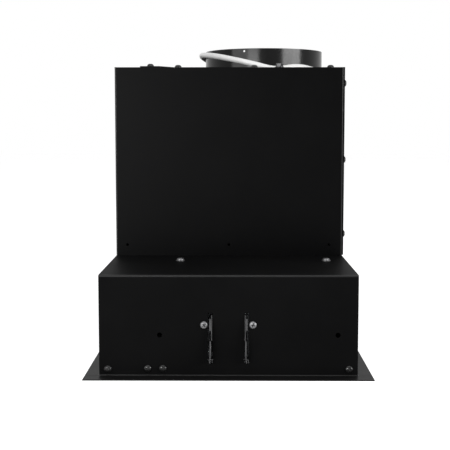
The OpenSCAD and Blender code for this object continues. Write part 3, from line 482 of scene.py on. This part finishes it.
def block(bm, lo, hi, taper=(1, 1), matrix=Matrix()):
    """A box between two corners; taper narrows its upper face. Returns its corners."""
    mid_x, mid_y = (lo[X] + hi[X]) / 2, (lo[Y] + hi[Y]) / 2
    rings = []
    for z, kx, ky in ((lo[Z], 1, 1), (hi[Z], *taper)):
        rings.append([
            bm.verts.new(matrix @ Vector((mid_x + (x - mid_x) * kx, mid_y + (y - mid_y) * ky, z)))
            for x, y in ((lo[X], lo[Y]), (hi[X], lo[Y]), (hi[X], hi[Y]), (lo[X], hi[Y]))
        ])
    join(bm, rings)
    return rings[0] + rings[1]


def rounded(obj, width=0.2, segments=2):
    """Rounds a piece's edges with modifiers, which leave its own mesh alone."""
    weld = obj.modifiers.new("weld", "WELD")
    weld.merge_threshold = 1e-6
    flat = obj.modifiers.new("flat", "DECIMATE")
    flat.decimate_type = "DISSOLVE"
    flat.angle_limit = math.radians(0.8)
    edge = obj.modifiers.new("edge", "BEVEL")
    edge.width = width * MM
    edge.segments = segments
    edge.limit_method = "ANGLE"
    edge.angle_limit = math.radians(42)
    even = obj.modifiers.new("even", "WEIGHTED_NORMAL")
    even.keep_sharp = False


# Cord, along the source's own points: from the exit, round the collar, into the coil, to the plug
LEAD = [(0, 0, 0), (3, 0, 0), (13, 0, -0.4), (26, 1.5, -1.4), (40, 5, -2.2), (55, 9.5, -2.3),
        (70, 14, -2.3), (85, 18.5, -2.3)]
WRAP = [(104, 3.7), (92, 3.7), (80, 3.7), (68, 3.7), (57, 4), (48, 5), (40, 6.5), (33, 7.5),
        (25, 7.4), (19, 6.2), (13, 5), (7, 4.9), (1, 6.3), (-8, 9.7), (-20, 13.8), (-32, 17.4),
        (-44, 20.6), (-56, 23), (-68, 24.7), (-80, 25.6), (-92, 25.6), (-104, 24.2), (-116, 21.2),
        (-127, 17), (-138, 12), (-150, 7.5)]
RUN = [(57.1, -11.5, 5.4), (51, 0.4, 4.5), (46, 9.3, 4.2)]
TAIL = [(-43, -20, 11.3), (-38.5, -32, 10.4), (-32.5, -43, 9.5), (-28, -53, 9)]
WRAP_R, STUB, PLUG_LEAD, COIL_STEPS, PATH_STEP = 80, 3, 5, 82, 3.5


def smooth_path(points, step):
    """Points on a smooth curve through the given ones, about one step apart."""
    out = [points[0]]
    last = len(points) - 1
    for i in range(last):
        a, b, c, d = points[max(i - 1, 0)], points[i], points[i + 1], points[min(i + 2, last)]
        span = (c - b).length
        leave = (c - a) * (span / (span + (b - a).length))
        reach = (d - b) * (span / ((d - c).length + span))
        n = max(1, round(span / step))
        for k in range(1, n + 1):
            t = k / n
            out.append(
                b * (2 * t ** 3 - 3 * t ** 2 + 1) + leave * (t ** 3 - 2 * t ** 2 + t)
                + c * (3 * t ** 2 - 2 * t ** 3) + reach * (t ** 3 - t ** 2)
            )
    return out


def coil_point(t):
    """A point of the coil t degrees along: it winds inwards, climbs a layer halfway, and winds out."""
    a = math.radians(COIL_START + t)
    r = COIL_R - COIL_PITCH / 360 * min(t, COIL_TURN - t)
    climb = max(0, min(1, (t - COIL_TURN / 2 + COIL_CLIMB / 2) / COIL_CLIMB))
    lift = COIL_PITCH * climb * climb * (3 - 2 * climb)
    return COIL + Vector((r * math.cos(a), r * math.sin(a), lift))


def coil_way(t):
    """The direction of the coil t degrees along."""
    a = math.radians(COIL_START + t)
    return Vector((-math.sin(a), math.cos(a), 0))


def round_collar(angle, radius, z):
    """A point at an angle round the collar."""
    a = math.radians(angle)
    return Vector((radius * math.cos(a), COLLAR_Y + radius * math.sin(a), z))


below_coil = Vector((COIL.x, COIL.y, ROOF))
coil_in = coil_point(0) - CORD_D * coil_way(0)
coil_out = coil_point(COIL_TURN) + CORD_D * coil_way(COIL_TURN)
route = [EXIT + Vector(q) for q in LEAD]
route += [round_collar(a, WRAP_R, ROOF + z) for a, z in WRAP]
route += [below_coil + Vector(q) for q in RUN]
route += [coil_in - STUB * coil_way(0), coil_in]
route += [coil_point(i * COIL_TURN / COIL_STEPS) for i in range(COIL_STEPS + 1)]
route += [coil_out, coil_out + STUB * coil_way(COIL_TURN)]
route += [below_coil + Vector(q) for q in TAIL]
route += [PLUG + Vector((0, PLUG_LEAD, 0)), PLUG]
line = [p * MM for p in smooth_path(route, PATH_STEP)]

curve = bpy.data.curves.new("mains_cord", "CURVE")
curve.dimensions = "3D"
spline = curve.splines.new("POLY")
spline.points.add(len(line) - 1)
for point, place in zip(spline.points, line):
    point.co = (*place, 1)
spline.use_smooth = True
curve.bevel_depth = CORD_D / 2 * MM
curve.bevel_resolution = 5
curve.use_fill_caps = True
curve.materials.append(materials["cord_jacket"])
cord = show("mains_cord", curve)
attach(cord, "hood")
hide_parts("power_cord", "cord_coil")
replaced.update(("power_cord", "cord_coil"))


# Screws with a cross recess
SHANK_R, TIP_R, TIP_L = 2, 1.1, 1.6
HEAD_UNDERCUT, HEAD_CHAMFER, HEAD_EDGE, DOME_STEPS = 0.25, 0.2, 0.5, 8
WASHER_PLAY, WASHER_CHAMFER = 0.2, 0.15
RECESS_W, RECESS_L, RECESS_DEPTH = 1.15, 0.6, 0.62
RECESS_FLOOR, RECESS_FLARE = (0.62, 0.7), (1.62, 1.4)
SCREW_FINISHES = {
    "bright_screw": ("bright_screw", "recess_shade"), "black_screw": ("black_screw", "black_screw"),
}


def blade(length, depth, top):
    """A cutter for one arm of a cross recess, wider at its mouth."""
    half_l, half_w = length / 2 * RECESS_FLOOR[X], RECESS_W / 2 * RECESS_FLOOR[Y]
    bm = bmesh.new()
    block(bm, (-half_l, -half_w, top - depth), (half_l, half_w, top + 1), RECESS_FLARE)
    for face in bm.faces:
        face.material_index = 1
    return mesh_of("recess", bm)


def screw(head_d, head_h, shank, washer_d=0.0, washer_t=0.0):
    """A pan head screw standing on Z = 0, with its shank below and a washer under its head."""
    r = head_d / 2
    shape = [(0, -shank), (TIP_R, -shank), (SHANK_R, TIP_L - shank), (SHANK_R, washer_t),
             (r - HEAD_UNDERCUT, washer_t), (r, washer_t + HEAD_CHAMFER), (r, washer_t + HEAD_EDGE)]
    for i in range(1, DOME_STEPS + 1):
        a = math.radians(90 * i / DOME_STEPS)
        reach = r * math.cos(a) ** 0.75 if i < DOME_STEPS else 0
        shape.append((reach, washer_t + HEAD_EDGE + (head_h - HEAD_EDGE) * math.sin(a)))
    bm = bmesh.new()
    lathe(bm, shape)
    head = mesh_of("screw", bm)
    for finish_name in SCREW_FINISHES["bright_screw"]:
        head.materials.append(materials[finish_name])
    for turn in (0, math.pi / 2):
        arm = blade(head_d * RECESS_L, head_h * RECESS_DEPTH, washer_t + head_h)
        arm.transform(Matrix.Rotation(turn, 4, "Z"))
        head = cut(head, arm)
    bm = bmesh.new()
    bm.from_mesh(head)
    bm.transform(Matrix.Scale(1 / MM, 4))
    if washer_d:
        hole, rim, chamfer = SHANK_R + WASHER_PLAY, washer_d / 2, WASHER_CHAMFER
        lathe(bm, [(hole, 0), (rim - chamfer, 0), (rim, chamfer), (rim, washer_t - chamfer),
                   (rim - chamfer, washer_t), (hole, washer_t), (hole, 0)])
    return mesh_of("screw", bm)


def facing(point, direction, turn=0.0):
    """Puts the Z axis of a fastener at a point in millimetres, along a direction."""
    aim = Vector(direction).to_track_quat("Z", "Y").to_matrix().to_4x4()
    return Matrix.Translation(metres(*point)) @ aim @ Matrix.Rotation(turn, 4, "Z")


def turned(places):
    """Gives each screw its own turn, as a fitter leaves them."""
    return [place @ Matrix.Rotation(chance.uniform(0, math.pi / 2), 4, "Z") for place in places]


def screws(name, node, finish_name, template, places):
    """A group of equal screws, each at its own turn, that stands for a node."""
    put(name, copies(name, template, turned(places)), finish_name, stands_for=[node],
        finishes=SCREW_FINISHES[finish_name])


CAPTURED = 7
EDGE_X = BLOWER_X - CAPTURED
END_POINTS = [(-119.3, 7.6), (119.3, 7.6), (-79.9, 8.2), (-64.9, 8.2)]
LEDGE_X, LEDGE_Y = 233, (-52.9, 105.6)
CLIP_Y, CLIP_Z = (-24.1, 24.1), 52
COVER_Y, COVER_Z = 129.2, (126.1, 210.1, 295.5)
ROOF_Y, ROOF_FRONT_X = (-88.3, -57.3, 28.1, 113.6), (-110, 0, 110)
roof_places = [
    (s * EDGE_X, y, ROOF + (SERVICE_T if s > 0 and y == ROOF_Y[0] else 0)) for s in ENDS for y in ROOF_Y
] + [(x, CAPTURED - HALF_DEP, ROOF) for x in ROOF_FRONT_X]

screws("end_wall_screws", "end_screws", "black_screw", screw(8, 2.6, 7),
       [facing((s * HALF_LEN, y, z), (s, 0, 0)) for s in ENDS for y, z in END_POINTS])
screws("ledge_screws_and_washers", "ledge_screws", "bright_screw", screw(8, 2.6, 7.6, 10, 0.8),
       [facing((s * LEDGE_X, y, LEDGE), (0, 0, 1)) for s in ENDS for y in LEDGE_Y])
screws("side_clip_screws", "clip_screws", "bright_screw", screw(7.9, 2.4, 6),
       [facing((s * HALF_LEN, y, CLIP_Z), (s, 0, 0)) for s in ENDS for y in CLIP_Y])
screws("cover_screws", "rear_cover_screws", "black_screw", screw(7.5, 2.4, 6),
       [facing((s * EDGE_X, COVER_Y, z), (0, 1, 0)) for s in ENDS for z in COVER_Z])
screws("roof_plate_screws", "roof_screws", "black_screw", screw(7.5, 3, 6),
       [facing(place, (0, 0, 1)) for place in roof_places])

# Earth screw: its shank and washer are round, its head is a hexagon, both given by radius and height
EARTH_Y, EARTH_TURN, HEXAGON = 56.4, 0.3, 6
EARTH_SHANK = [(0, -6), (1.4, -6), (2, -5), (2, 0)]
EARTH_WASHER = [(4.8, 0), (5, 0.2), (5, 0.8), (4.8, 1), (0, 1)]
EARTH_HEAD = [(0, 0.9), (3.6, 0.9), (4, 1.3), (4, 4.2), (3.4, 4.6), (2.6, 4.6), (2.2, 4.1), (0, 4.1)]
bm = bmesh.new()
lathe(bm, EARTH_SHANK + EARTH_WASHER)
lathe(bm, EARTH_HEAD, HEXAGON)
put("earth_bolt", copies("earth_bolt", mesh_of("hex", bm), [
    facing((EDGE_X, EARTH_Y, ROOF), (0, 0, 1), EARTH_TURN)
]), "zinc", stands_for=["earth_screw"], finishes=("dull_zinc",), angle=20)

# Collar's fixings: three screws in its foot and a rivet near its rim
FIXING_R, FIXING_A = COLLAR_R + 8, (29, 149, 269)
RIVET_A, RIVET_DOWN = 99.6, 6
RIVET_SHANK, RIVET_CORE = [(0, -1), (1.6, -1), (1.6, 0)], [(0.5, 1.6), (0.4, 1.1), (0, 1.1)]
RIVET_HEAD = [(3, 0), (2.95, 0.35), (2.6, 0.9), (2, 1.35), (1.1, 1.58)]
bm = bmesh.new()
lathe(bm, RIVET_SHANK + RIVET_HEAD + RIVET_CORE)
rivet = mesh_of("rivet", bm)
outwards = (math.cos(math.radians(RIVET_A)), math.sin(math.radians(RIVET_A)), 0)
bm = bmesh.new()
bm.from_mesh(copies("collar_screws", screw(8, 3.2, 7), turned([
    facing(round_collar(a, FIXING_R, ROOF), (0, 0, 1)) for a in FIXING_A
])))
bm.from_mesh(copies("rivet", rivet, [
    facing(round_collar(RIVET_A, COLLAR_R, RIM - RIVET_DOWN), outwards)
]))
put("collar_screws_and_rivet", mesh_of("collar_screws", bm, 1), "black_screw",
    stands_for=["collar_fixings"], finishes=SCREW_FINISHES["black_screw"])


# Folded sheet parts, with their real bend radii
OUTER_BEND, INNER_BEND, BLOWER_BEND, BEND_STEPS = 1.8, 0.8, 1.6, 5
# How far a bend's prism goes past its corner, stops short of the sheet's ends, or goes beyond them
PAST, SHY, OVER = 0.3, 0.1, 0.02
FLANGE_TOP = 1.2 * SHEET
# The bends' glossier copy of the paint is a painted highlight, the flange's lighter copy a painted
# reflection
FOLD_FINISHES = ("bend_highlight_paint", "flange_reflection_paint")


def bend(bm, places, radius, centre, span):
    """The region between a square corner and a round bend, as a prism along the corner.

    places gives the corner on two axes, centre the side of it that the bend's centre is on, and
    span the prism's ends on the third axis. Cut out it rounds an outer corner, joined an inner one.
    """
    (a, at_a), (b, at_b) = places.items()
    points = [(-PAST, -PAST), (radius, -PAST)]
    for i in range(BEND_STEPS + 1):
        t = math.radians(90 * i / BEND_STEPS)
        points.append((radius * (1 - math.sin(t)), radius * (1 - math.cos(t))))
    points.append((-PAST, radius))
    rings = []
    for end in span:
        ring = []
        for along_a, along_b in points:
            place = [end, end, end]
            place[a] = at_a + centre[0] * along_a
            place[b] = at_b + centre[1] * along_b
            ring.append(bm.verts.new(place))
        rings.append(ring)
    join(bm, rings)
    # The bend's faces take the glossier copy of the paint, a painted highlight
    for face in bm.faces:
        face.material_index = 1


def folded(name, node, paint, outer, inner=()):
    """A copy of a CAD sheet part with round bends at its outer and inner corners.

    Its bends have a glossier copy of the paint, a painted highlight, and its flange, the faces near Z =
    0, a lighter copy, a painted reflection.
    """
    bm = bmesh.new()
    bm.from_mesh(nodes[node].data)
    bmesh.ops.remove_doubles(bm, verts=bm.verts, dist=1e-6)
    bmesh.ops.dissolve_limit(bm, angle_limit=math.radians(0.5), verts=bm.verts, edges=bm.edges)
    mesh = mesh_of(name, bm, 1)
    for finish_name in (paint, *FOLD_FINISHES):
        mesh.materials.append(materials[finish_name])
    for corners, operation in ((inner, "UNION"), (outer, "DIFFERENCE")):
        if corners:
            bm = bmesh.new()
            for corner in corners:
                bend(bm, *corner)
            mesh = cut(mesh, mesh_of("bends", bm), operation)
    # The flange faces near Z = 0 take the lighter copy of the paint, a painted reflection
    for face in mesh.polygons:
        if face.center.z < FLANGE_TOP * MM and face.material_index == 0:
            face.material_index = 2
    rounded(put(name, mesh, slots[node], stands_for=[node], angle=0))


wall_x, panel_y = HALF_LEN - SHEET, HALF_DEP - SHEET
outer, inner = [], []
for s in ENDS:
    outer.append(({X: s * HALF_LEN, Z: LEDGE}, OUTER_BEND, (-s, -1), (-HALF_DEP - 1, HALF_DEP + 1)))
    outer.append(({X: s * wall_x, Z: 0}, OUTER_BEND, (s, 1), (-HALF_DEP - OVER, HALF_DEP + OVER)))
    inner.append(({X: s * HALF_LEN, Z: SHEET}, INNER_BEND, (s, 1), (SHY - HALF_DEP, HALF_DEP - SHY)))
folded("canopy_skin", "canopy_shell", "canopy_paint", outer, inner)
for name, node, s in (("front_skin", "front_panel", -1), ("rear_skin", "rear_panel", 1)):
    folded(name, node, "canopy_paint",
           [({Y: s * panel_y, Z: 0}, OUTER_BEND, (s, 1), (-wall_x - OVER, wall_x + OVER))],
           [({Y: s * HALF_DEP, Z: SHEET}, INNER_BEND, (s, 1), (SHY - wall_x, wall_x - SHY))])
folded("blower_skin", "blower_box", "black_paint", [
    ({X: s * BLOWER_X, Y: t * HALF_DEP}, BLOWER_BEND, (-s, -t), (LEDGE - 1, ROOF))
    for s in ENDS for t in ENDS
])


# Cord fittings. A rib and the dip after it take these shares of their pitch
RIB, DIP = (0.1, 0.55), (0.65, 0.95)
DIP_DEPTH, DIP_WALL, RELIEF_CHAMFER = 1.1, 0.25, 0.3


def ribbed_relief(bm, matrix, length, r_start, r_end, ribs):
    """A tapered sleeve along Z with dips between its ribs."""
    shape = [(0, 0), (r_start, 0)]
    pitch = length / ribs
    for i in range(ribs):
        on_rib = r_start + (r_end - r_start) * (i + 0.5) / ribs
        in_dip = max(on_rib - DIP_DEPTH, CORD_D / 2 + DIP_WALL)
        shape += [(on_rib, (i + share) * pitch) for share in RIB]
        shape += [(in_dip, (i + share) * pitch) for share in DIP]
    shape += [(r_end, length - RELIEF_CHAMFER), (r_end - RELIEF_CHAMFER, length), (0, length)]
    lathe(bm, shape, 28, matrix)


# Gland: a body on the roof, a strain relief for the cord, a stem through the roof and its nut below
STEM_X, GLAND_BACK, GLAND_FRONT, GLAND_HALF_Y, GLAND_RISE = -150, 9, 10, 8, 7
GLAND_CORNER, GLAND_CORNER_STEPS = 2.6, 4
STEM_R, STEM_L, NUT_R, NUT_LOW, NUT_HIGH = 5.8, 14, 9, 6, 1.1
RELIEF_L, RELIEF_R, RELIEF_END_R, RELIEF_RIBS = 21, 5.8, CORD_D / 2 + 0.8, 6
bm = bmesh.new()
corners = block(bm, (STEM_X - GLAND_BACK, EXIT.y - GLAND_HALF_Y, ROOF),
                (STEM_X + GLAND_FRONT, EXIT.y + GLAND_HALF_Y, EXIT.z + GLAND_RISE))
soften(bm, GLAND_CORNER, GLAND_CORNER_STEPS, verts=corners)
relief_start = (STEM_X + GLAND_FRONT - 1, EXIT.y, EXIT.z)
along_x = Matrix.Translation(relief_start) @ Matrix.Rotation(math.pi / 2, 4, "Y")
ribbed_relief(bm, along_x, RELIEF_L, RELIEF_R, RELIEF_END_R, RELIEF_RIBS)
on_stem = Matrix.Translation((STEM_X, EXIT.y, ROOF))
lathe(bm, [(0, -STEM_L), (STEM_R - 0.6, -STEM_L), (STEM_R, 0.6 - STEM_L), (STEM_R, 1), (0, 1)], 28,
      on_stem)
lathe(bm, [(STEM_R - 1, -NUT_LOW), (NUT_R - 0.4, -NUT_LOW), (NUT_R, 0.5 - NUT_LOW),
           (NUT_R, -NUT_HIGH - 0.5), (NUT_R - 0.4, -NUT_HIGH), (STEM_R - 1, -NUT_HIGH),
           (STEM_R - 1, -NUT_LOW)], HEXAGON, on_stem)
put("angled_gland", mesh_of("angled_gland", bm), "white_plastic", stands_for=["cord_elbow"])

# Plug: a strain relief, a body with three finger grooves, and three round pins
PLUG_W, PLUG_H, PLUG_L, PLUG_CORNER = 32, 17, 36, 6
PLUG_RELIEF, PLUG_RELIEF_R, PLUG_RIBS, PLUG_OVERLAP = 28, 6.4, 7, 0.5
PLUG_SHOULDER = ((0, 2.4), (0.6, 1.1), (1.6, 0.4), (3, 0))
PLUG_FACE = ((1.4, 0), (0.5, 0.4), (0, 1.2))
PIN_R, PIN_L, PIN_PITCH = 2, 19, 9.5
GROOVES, GROOVE_START, GROOVE_PITCH = 3, 11, 5
GROOVE = ((0, 0), (1, 0.7), (2.4, 0.7), (3.4, 0))
toward_pins = Matrix.Translation(PLUG) @ Matrix.Rotation(math.pi / 2, 4, "X")
bm = bmesh.new()
ribbed_relief(bm, toward_pins, PLUG_RELIEF + PLUG_OVERLAP, RELIEF_END_R, PLUG_RELIEF_R, PLUG_RIBS)
levels = list(PLUG_SHOULDER)
for i in range(GROOVES):
    levels += [(GROOVE_START + i * GROOVE_PITCH + on, inset) for on, inset in GROOVE]
levels += [(PLUG_L - back, inset) for back, inset in PLUG_FACE]
loft(bm, [
    (outline(PLUG_W - 2 * inset, PLUG_H - 2 * inset, PLUG_CORNER - inset), PLUG_RELIEF + along)
    for along, inset in levels
], toward_pins)
plug = put("plug_body", mesh_of("plug_body", bm), "white_plastic", stands_for=["power_plug"])
bm = bmesh.new()
for i in (-1, 0, 1):
    lathe(bm, [(0, -1), (PIN_R, -1), (PIN_R, PIN_L - 1.4), (PIN_R - 0.5, PIN_L - 0.4), (0.8, PIN_L),
               (0, PIN_L)], 24,
          toward_pins @ Matrix.Translation((i * PIN_PITCH, 0, PLUG_RELIEF + PLUG_L)))
pins = put("plug_pins", mesh_of("plug_pins", bm), "bright_screw")

# Tie: a rounded loop round the coil's turns
TIE_T, TIE_CORNER = 0.6, 4
tie_lo, tie_hi = box_mm("cord_tie")
wide, tall = tie_hi[Y] - tie_lo[Y], tie_hi[Z] - tie_lo[Z]
mid_y, mid_z = (tie_lo[Y] + tie_hi[Y]) / 2, (tie_lo[Z] + tie_hi[Z]) / 2
bm = bmesh.new()
loops = []
for inset, x in ((0, tie_lo[X]), (0, tie_hi[X]), (TIE_T, tie_hi[X]), (TIE_T, tie_lo[X])):
    points = outline(wide - 2 * inset, tall - 2 * inset, TIE_CORNER - inset)
    loops.append([bm.verts.new((x, mid_y + a, mid_z + b)) for a, b in points])
for low, high in zip(loops, loops[1:] + loops[:1]):
    for k in range(len(low)):
        n = (k + 1) % len(low)
        bm.faces.new((low[k], low[n], high[n], high[k]))
strap = put("strap", mesh_of("strap", bm), "rubber", stands_for=["cord_tie"])


# Side clips: a spring steel plate behind the end wall, painted black as shade, and bright fins that come
# out through the slots
FIN_OUT, FIN_HIP, FIN_IN, FIN_LOW, FIN_MID, FIN_TOP = 11, 8.5, -3, 14.7, 37.8, 61.7
PLATE_Y, PLATE_LOW, PLATE_X = 15.2, 20, (-4.3, -2.8)
FLAP_Y, FLAP_X, FLAP_Z = (15, 17.6), (-4, -2.9), ((38, FIN_TOP), (24, 36))
CLIP_CORNER, PAINTED_SHADE_INSET = 0.15, -2

# Fins: the middle and thickness of each along Y, and its heights and outer edges
UPPER_Y, LOWER_Y, LOWER_SHIFT, WING_Y = 16.5, 17.4, 0.35, 18
UPPER_T, LOWER_T, WING_T = 0.9, 1.4, 1.7
UPPER_FIN = ((FIN_TOP, 0.6), (FIN_TOP - 1, 1.2), (FIN_MID, FIN_HIP))
LOWER_FIN = ((FIN_MID - 0.3, FIN_HIP), (30, FIN_OUT), (26, FIN_OUT))
WING = ((58.5, 2), (57.6, 2.6), (46.5, 3.2), (46, 2.8))

# Toe of the lower fin: its teeth, each by shares of their pitch and how far it draws back
TOE_TOP, TOE_CLEAR, TOE_IN, TEETH, TOOTH_STEP = 24, 17, 1, 4, 0.65
TOOTH = ((0, 0), (0.7, 0.25), (0.82, 0.85), (0.94, 0.62))
BEND_TOP, BEND_REACH, BEND_BY = 26, 12, 0.9


def fin(bm, y, thick, levels):
    """An upright fin. Each level is a height, its inner and outer edge from the wall, and a shift."""
    sections = []
    for z, inside, outside, shift in levels:
        low, high = y + shift - thick / 2, y + shift + thick / 2
        near, far = HALF_LEN + inside, HALF_LEN + outside
        sections.append(([(near, low), (far, low), (far, high), (near, high)], z))
    loft(bm, sections)


def straight(edges):
    """The levels of a part of a fin that isn't bent aside."""
    return [(z, FIN_IN, outside, 0) for z, outside in edges]


def toe(end):
    """The levels of a fin's lower end, with teeth on its outer edge, bent aside towards its tip."""
    levels = []
    for i in range(TEETH):
        for down, back in TOOTH:
            z = TOE_TOP - (i + down) * (TOE_TOP - FIN_LOW) / TEETH
            inside = TOE_IN if z < TOE_CLEAR else FIN_IN
            bent = end * BEND_BY * ((BEND_TOP - z) / BEND_REACH) ** 1.5
            levels.append((z, inside, FIN_OUT - TOOTH_STEP * i - back, bent))
    return levels


def clip(name, side, node, body):
    """A clip of one end wall: its plate, and at each edge of it two fins, a wing and two flaps."""
    bm = bmesh.new()
    for end in (-1, 1):
        fin(bm, end * UPPER_Y, UPPER_T, straight(UPPER_FIN))
        fin(bm, end * LOWER_Y - LOWER_SHIFT, LOWER_T, straight(LOWER_FIN) + toe(end))
        fin(bm, end * WING_Y, WING_T, straight(WING))
        near, far = sorted(end * y for y in FLAP_Y)
        for low, high in FLAP_Z:
            block(bm, (HALF_LEN + FLAP_X[0], near, low), (HALF_LEN + FLAP_X[1], far, high))
    block(bm, (HALF_LEN + PLATE_X[0], -PLATE_Y, PLATE_LOW), (HALF_LEN + PLATE_X[1], PLATE_Y, FIN_TOP))
    if side < 0:
        bm.transform(Matrix.Scale(-1, 4, (1, 0, 0)))
    soften(bm, CLIP_CORNER, 1, angle=50)
    # Faces behind the end wall, seen only through the slots, get black paint as painted shade
    for face in bm.faces:
        behind_wall = all(abs(vert.co.x) < HALF_LEN + PAINTED_SHADE_INSET for vert in face.verts)
        face.material_index = 1 if behind_wall else 0
    put(name, mesh_of(name, bm), "spring_steel", body, [node], ("spring_steel", "black_paint"))


clip("right_clip", 1, "clip_spring_right", "clip_right")
clip("left_clip", -1, "clip_spring_left", "clip_left")


# Filter pads: three layers of expanded aluminium
MESH_PITCH, MESH_CELL, WIRE_W, WIRE_T = 4.2, 8, 0.9, 0.55
PAD_EDGE, PAD_SKIN, WIRE_LIFT, WIRE_SHAKE = 1, 0.7, 0.35, 0.12


def strand(bm, points):
    """A flat wire through the points."""
    join(bm, [
        [bm.verts.new(p + Vector((0, a * WIRE_W / 2, b * WIRE_T / 2)))
         for a, b in ((-1, -1), (1, -1), (1, 1), (-1, 1))]
        for p in points
    ])


def filter_pad(name, node, body):
    """Zigzag wires that meet their neighbours and so leave diamond openings."""
    lo, hi = box_mm(node)
    rows = int((hi[Y] - lo[Y] - 2 * PAD_EDGE) / MESH_PITCH)
    pitch = (hi[Y] - lo[Y] - 2 * PAD_EDGE) / rows
    steps = int((hi[X] - lo[X]) / (MESH_CELL / 2))
    stride = (hi[X] - lo[X]) / steps
    bm = bmesh.new()
    for layer, z in enumerate((lo[Z] + PAD_SKIN, (lo[Z] + hi[Z]) / 2, hi[Z] - PAD_SKIN)):
        for j in range(rows + 1):
            points = []
            for i in range(steps + 1):
                swing = (pitch / 2 - WIRE_W / 2 + 0.2) * (1 if (i + j) % 2 else -1)
                if j == 0:
                    swing = max(swing, 0)
                if j == rows:
                    swing = min(swing, 0)
                y = lo[Y] + PAD_EDGE + j * pitch + swing + chance.uniform(-WIRE_SHAKE, WIRE_SHAKE)
                lift = WIRE_LIFT if (i + layer) % 2 else -WIRE_LIFT
                points.append(Vector((lo[X] + i * stride, y, z + lift)))
            strand(bm, points)
    put(name, mesh_of(name, bm), "mesh", body, [node], angle=0)


filter_pad("left_pad", "filter_mesh_left", "filter_left")
filter_pad("right_pad", "filter_mesh_right", "filter_right")

# Lamps: frosted lens, bezel with a rolled edge, board with its light chips
LAMP_R, LENS_R, LAMP_DEEP = 30, 28, 14
lens_lo, lens_hi = box_mm("lamp_lenses")
LAMP_X, LAMP_Y, LAMP_Z = lens_hi[X] - LENS_R, (lens_lo[Y] + lens_hi[Y]) / 2, lens_lo[Z]
BOARD_LOW, BOARD_HIGH = [corner[Z] - LAMP_Z for corner in box_mm("lamp_boards")]
CHIP_X, CHIP_Y, CHIP_LOW, CHIP_HIGH, CHIP_RINGS = 1.4, 1.75, 11.3, 12.1, ((7, 4), (17, 9))
lens_bm, bezel_bm, board_bm, chip_bm = (bmesh.new() for _ in range(4))
for s in ENDS:
    at = Matrix.Translation((s * LAMP_X, LAMP_Y, LAMP_Z))
    lathe(lens_bm, [(0, 0.5), (LENS_R - 6, 0.3), (LENS_R - 3, 0.1), (LENS_R - 0.4, 0), (LENS_R, 0.4),
                    (LENS_R, 2.1), (LENS_R - 0.4, 2.5), (0, 2.5)], 64, at)
    lathe(bezel_bm, [(LENS_R - 3, -0.9), (LENS_R - 2.6, -1.15), (LAMP_R + 1, -1.2), (LAMP_R + 3, -0.8),
                     (LAMP_R + 3.9, -0.25), (LAMP_R + 4, 0), (LAMP_R - 0.2, 0), (LAMP_R - 0.2, LAMP_DEEP),
                     (LENS_R + 0.2, LAMP_DEEP), (LENS_R + 0.2, 0), (LENS_R - 3, -0.05),
                     (LENS_R - 3, -0.9)], 72, at)
    lathe(board_bm, [(0, BOARD_LOW), (LENS_R - 0.3, BOARD_LOW), (LENS_R, BOARD_LOW + 0.2),
                     (LENS_R, BOARD_HIGH - 0.2), (LENS_R - 0.3, BOARD_HIGH), (0, BOARD_HIGH)], 48, at)
    for ring, count in CHIP_RINGS:
        for k in range(count):
            turn = Matrix.Rotation(2 * math.pi * k / count, 4, "Z") @ Matrix.Translation((ring, 0, 0))
            block(chip_bm, (-CHIP_X, -CHIP_Y, CHIP_LOW), (CHIP_X, CHIP_Y, CHIP_HIGH), matrix=at @ turn)
put("frosted_lenses", mesh_of("frosted_lenses", lens_bm), "lens", stands_for=["lamp_lenses"])
put("lamp_rings", mesh_of("lamp_rings", bezel_bm), "zinc", stands_for=["lamp_bezels"])
put("light_boards", mesh_of("light_boards", board_bm), "led_board", stands_for=["lamp_boards"])
put("light_chips", mesh_of("light_chips", chip_bm), "led_board", finishes=("led_chip",))

# Push buttons with soft edges and a finger hollow, a collar behind the bezel and a stem above it
BUTTON_W, BUTTON_D, BUTTON_CORNER = 16.4, 12.4, 2.6
KEY_COLLAR, KEY_COLLAR_CORNER, KEY_COLLAR_Z = 2.4, 1.2, (4.3, 5.8)
STEM_HALF, STEM_LOW = 3, 5.7
KEY_FACE = ((1.5, 2.6), (1.25, 1.5), (1.0, 0.8), (1.2, 0.25), (1.7, 0), (5.3, 0))
collar = outline(BUTTON_W + KEY_COLLAR, BUTTON_D + KEY_COLLAR, KEY_COLLAR_CORNER)
for which in ("off", "low", "medium", "high", "light"):
    lo, hi = box_mm(f"button_{which}")
    at = Matrix.Translation(((lo[X] + hi[X]) / 2, (lo[Y] + hi[Y]) / 2, 0))
    bm = bmesh.new()
    loft(bm, [
        (outline(BUTTON_W - 2 * inset, BUTTON_D - 2 * inset, BUTTON_CORNER - inset * 0.6), z)
        for z, inset in KEY_FACE
    ], at)
    loft(bm, [(collar, z) for z in KEY_COLLAR_Z], at)
    block(bm, (-STEM_HALF, -STEM_HALF, STEM_LOW), (STEM_HALF, STEM_HALF, hi[Z]), matrix=at)
    put(f"{which}_key", mesh_of(which, bm), "button_plastic", f"{which}_key", [f"button_{which}"])

# CAD nodes keep their solids and get their finish, and flat ones get rounded edges
KEEP_NORMALS = {"duct_collar", "impeller", "motor_can", "motor_stator", "motor_rotor", "motor_shaft"}
for node, slot in slots.items():
    obj = nodes[node]
    obj.data.materials.clear()
    obj.data.materials.append(materials[slot])
    if node not in replaced | KEEP_NORMALS:
        rounded(obj)
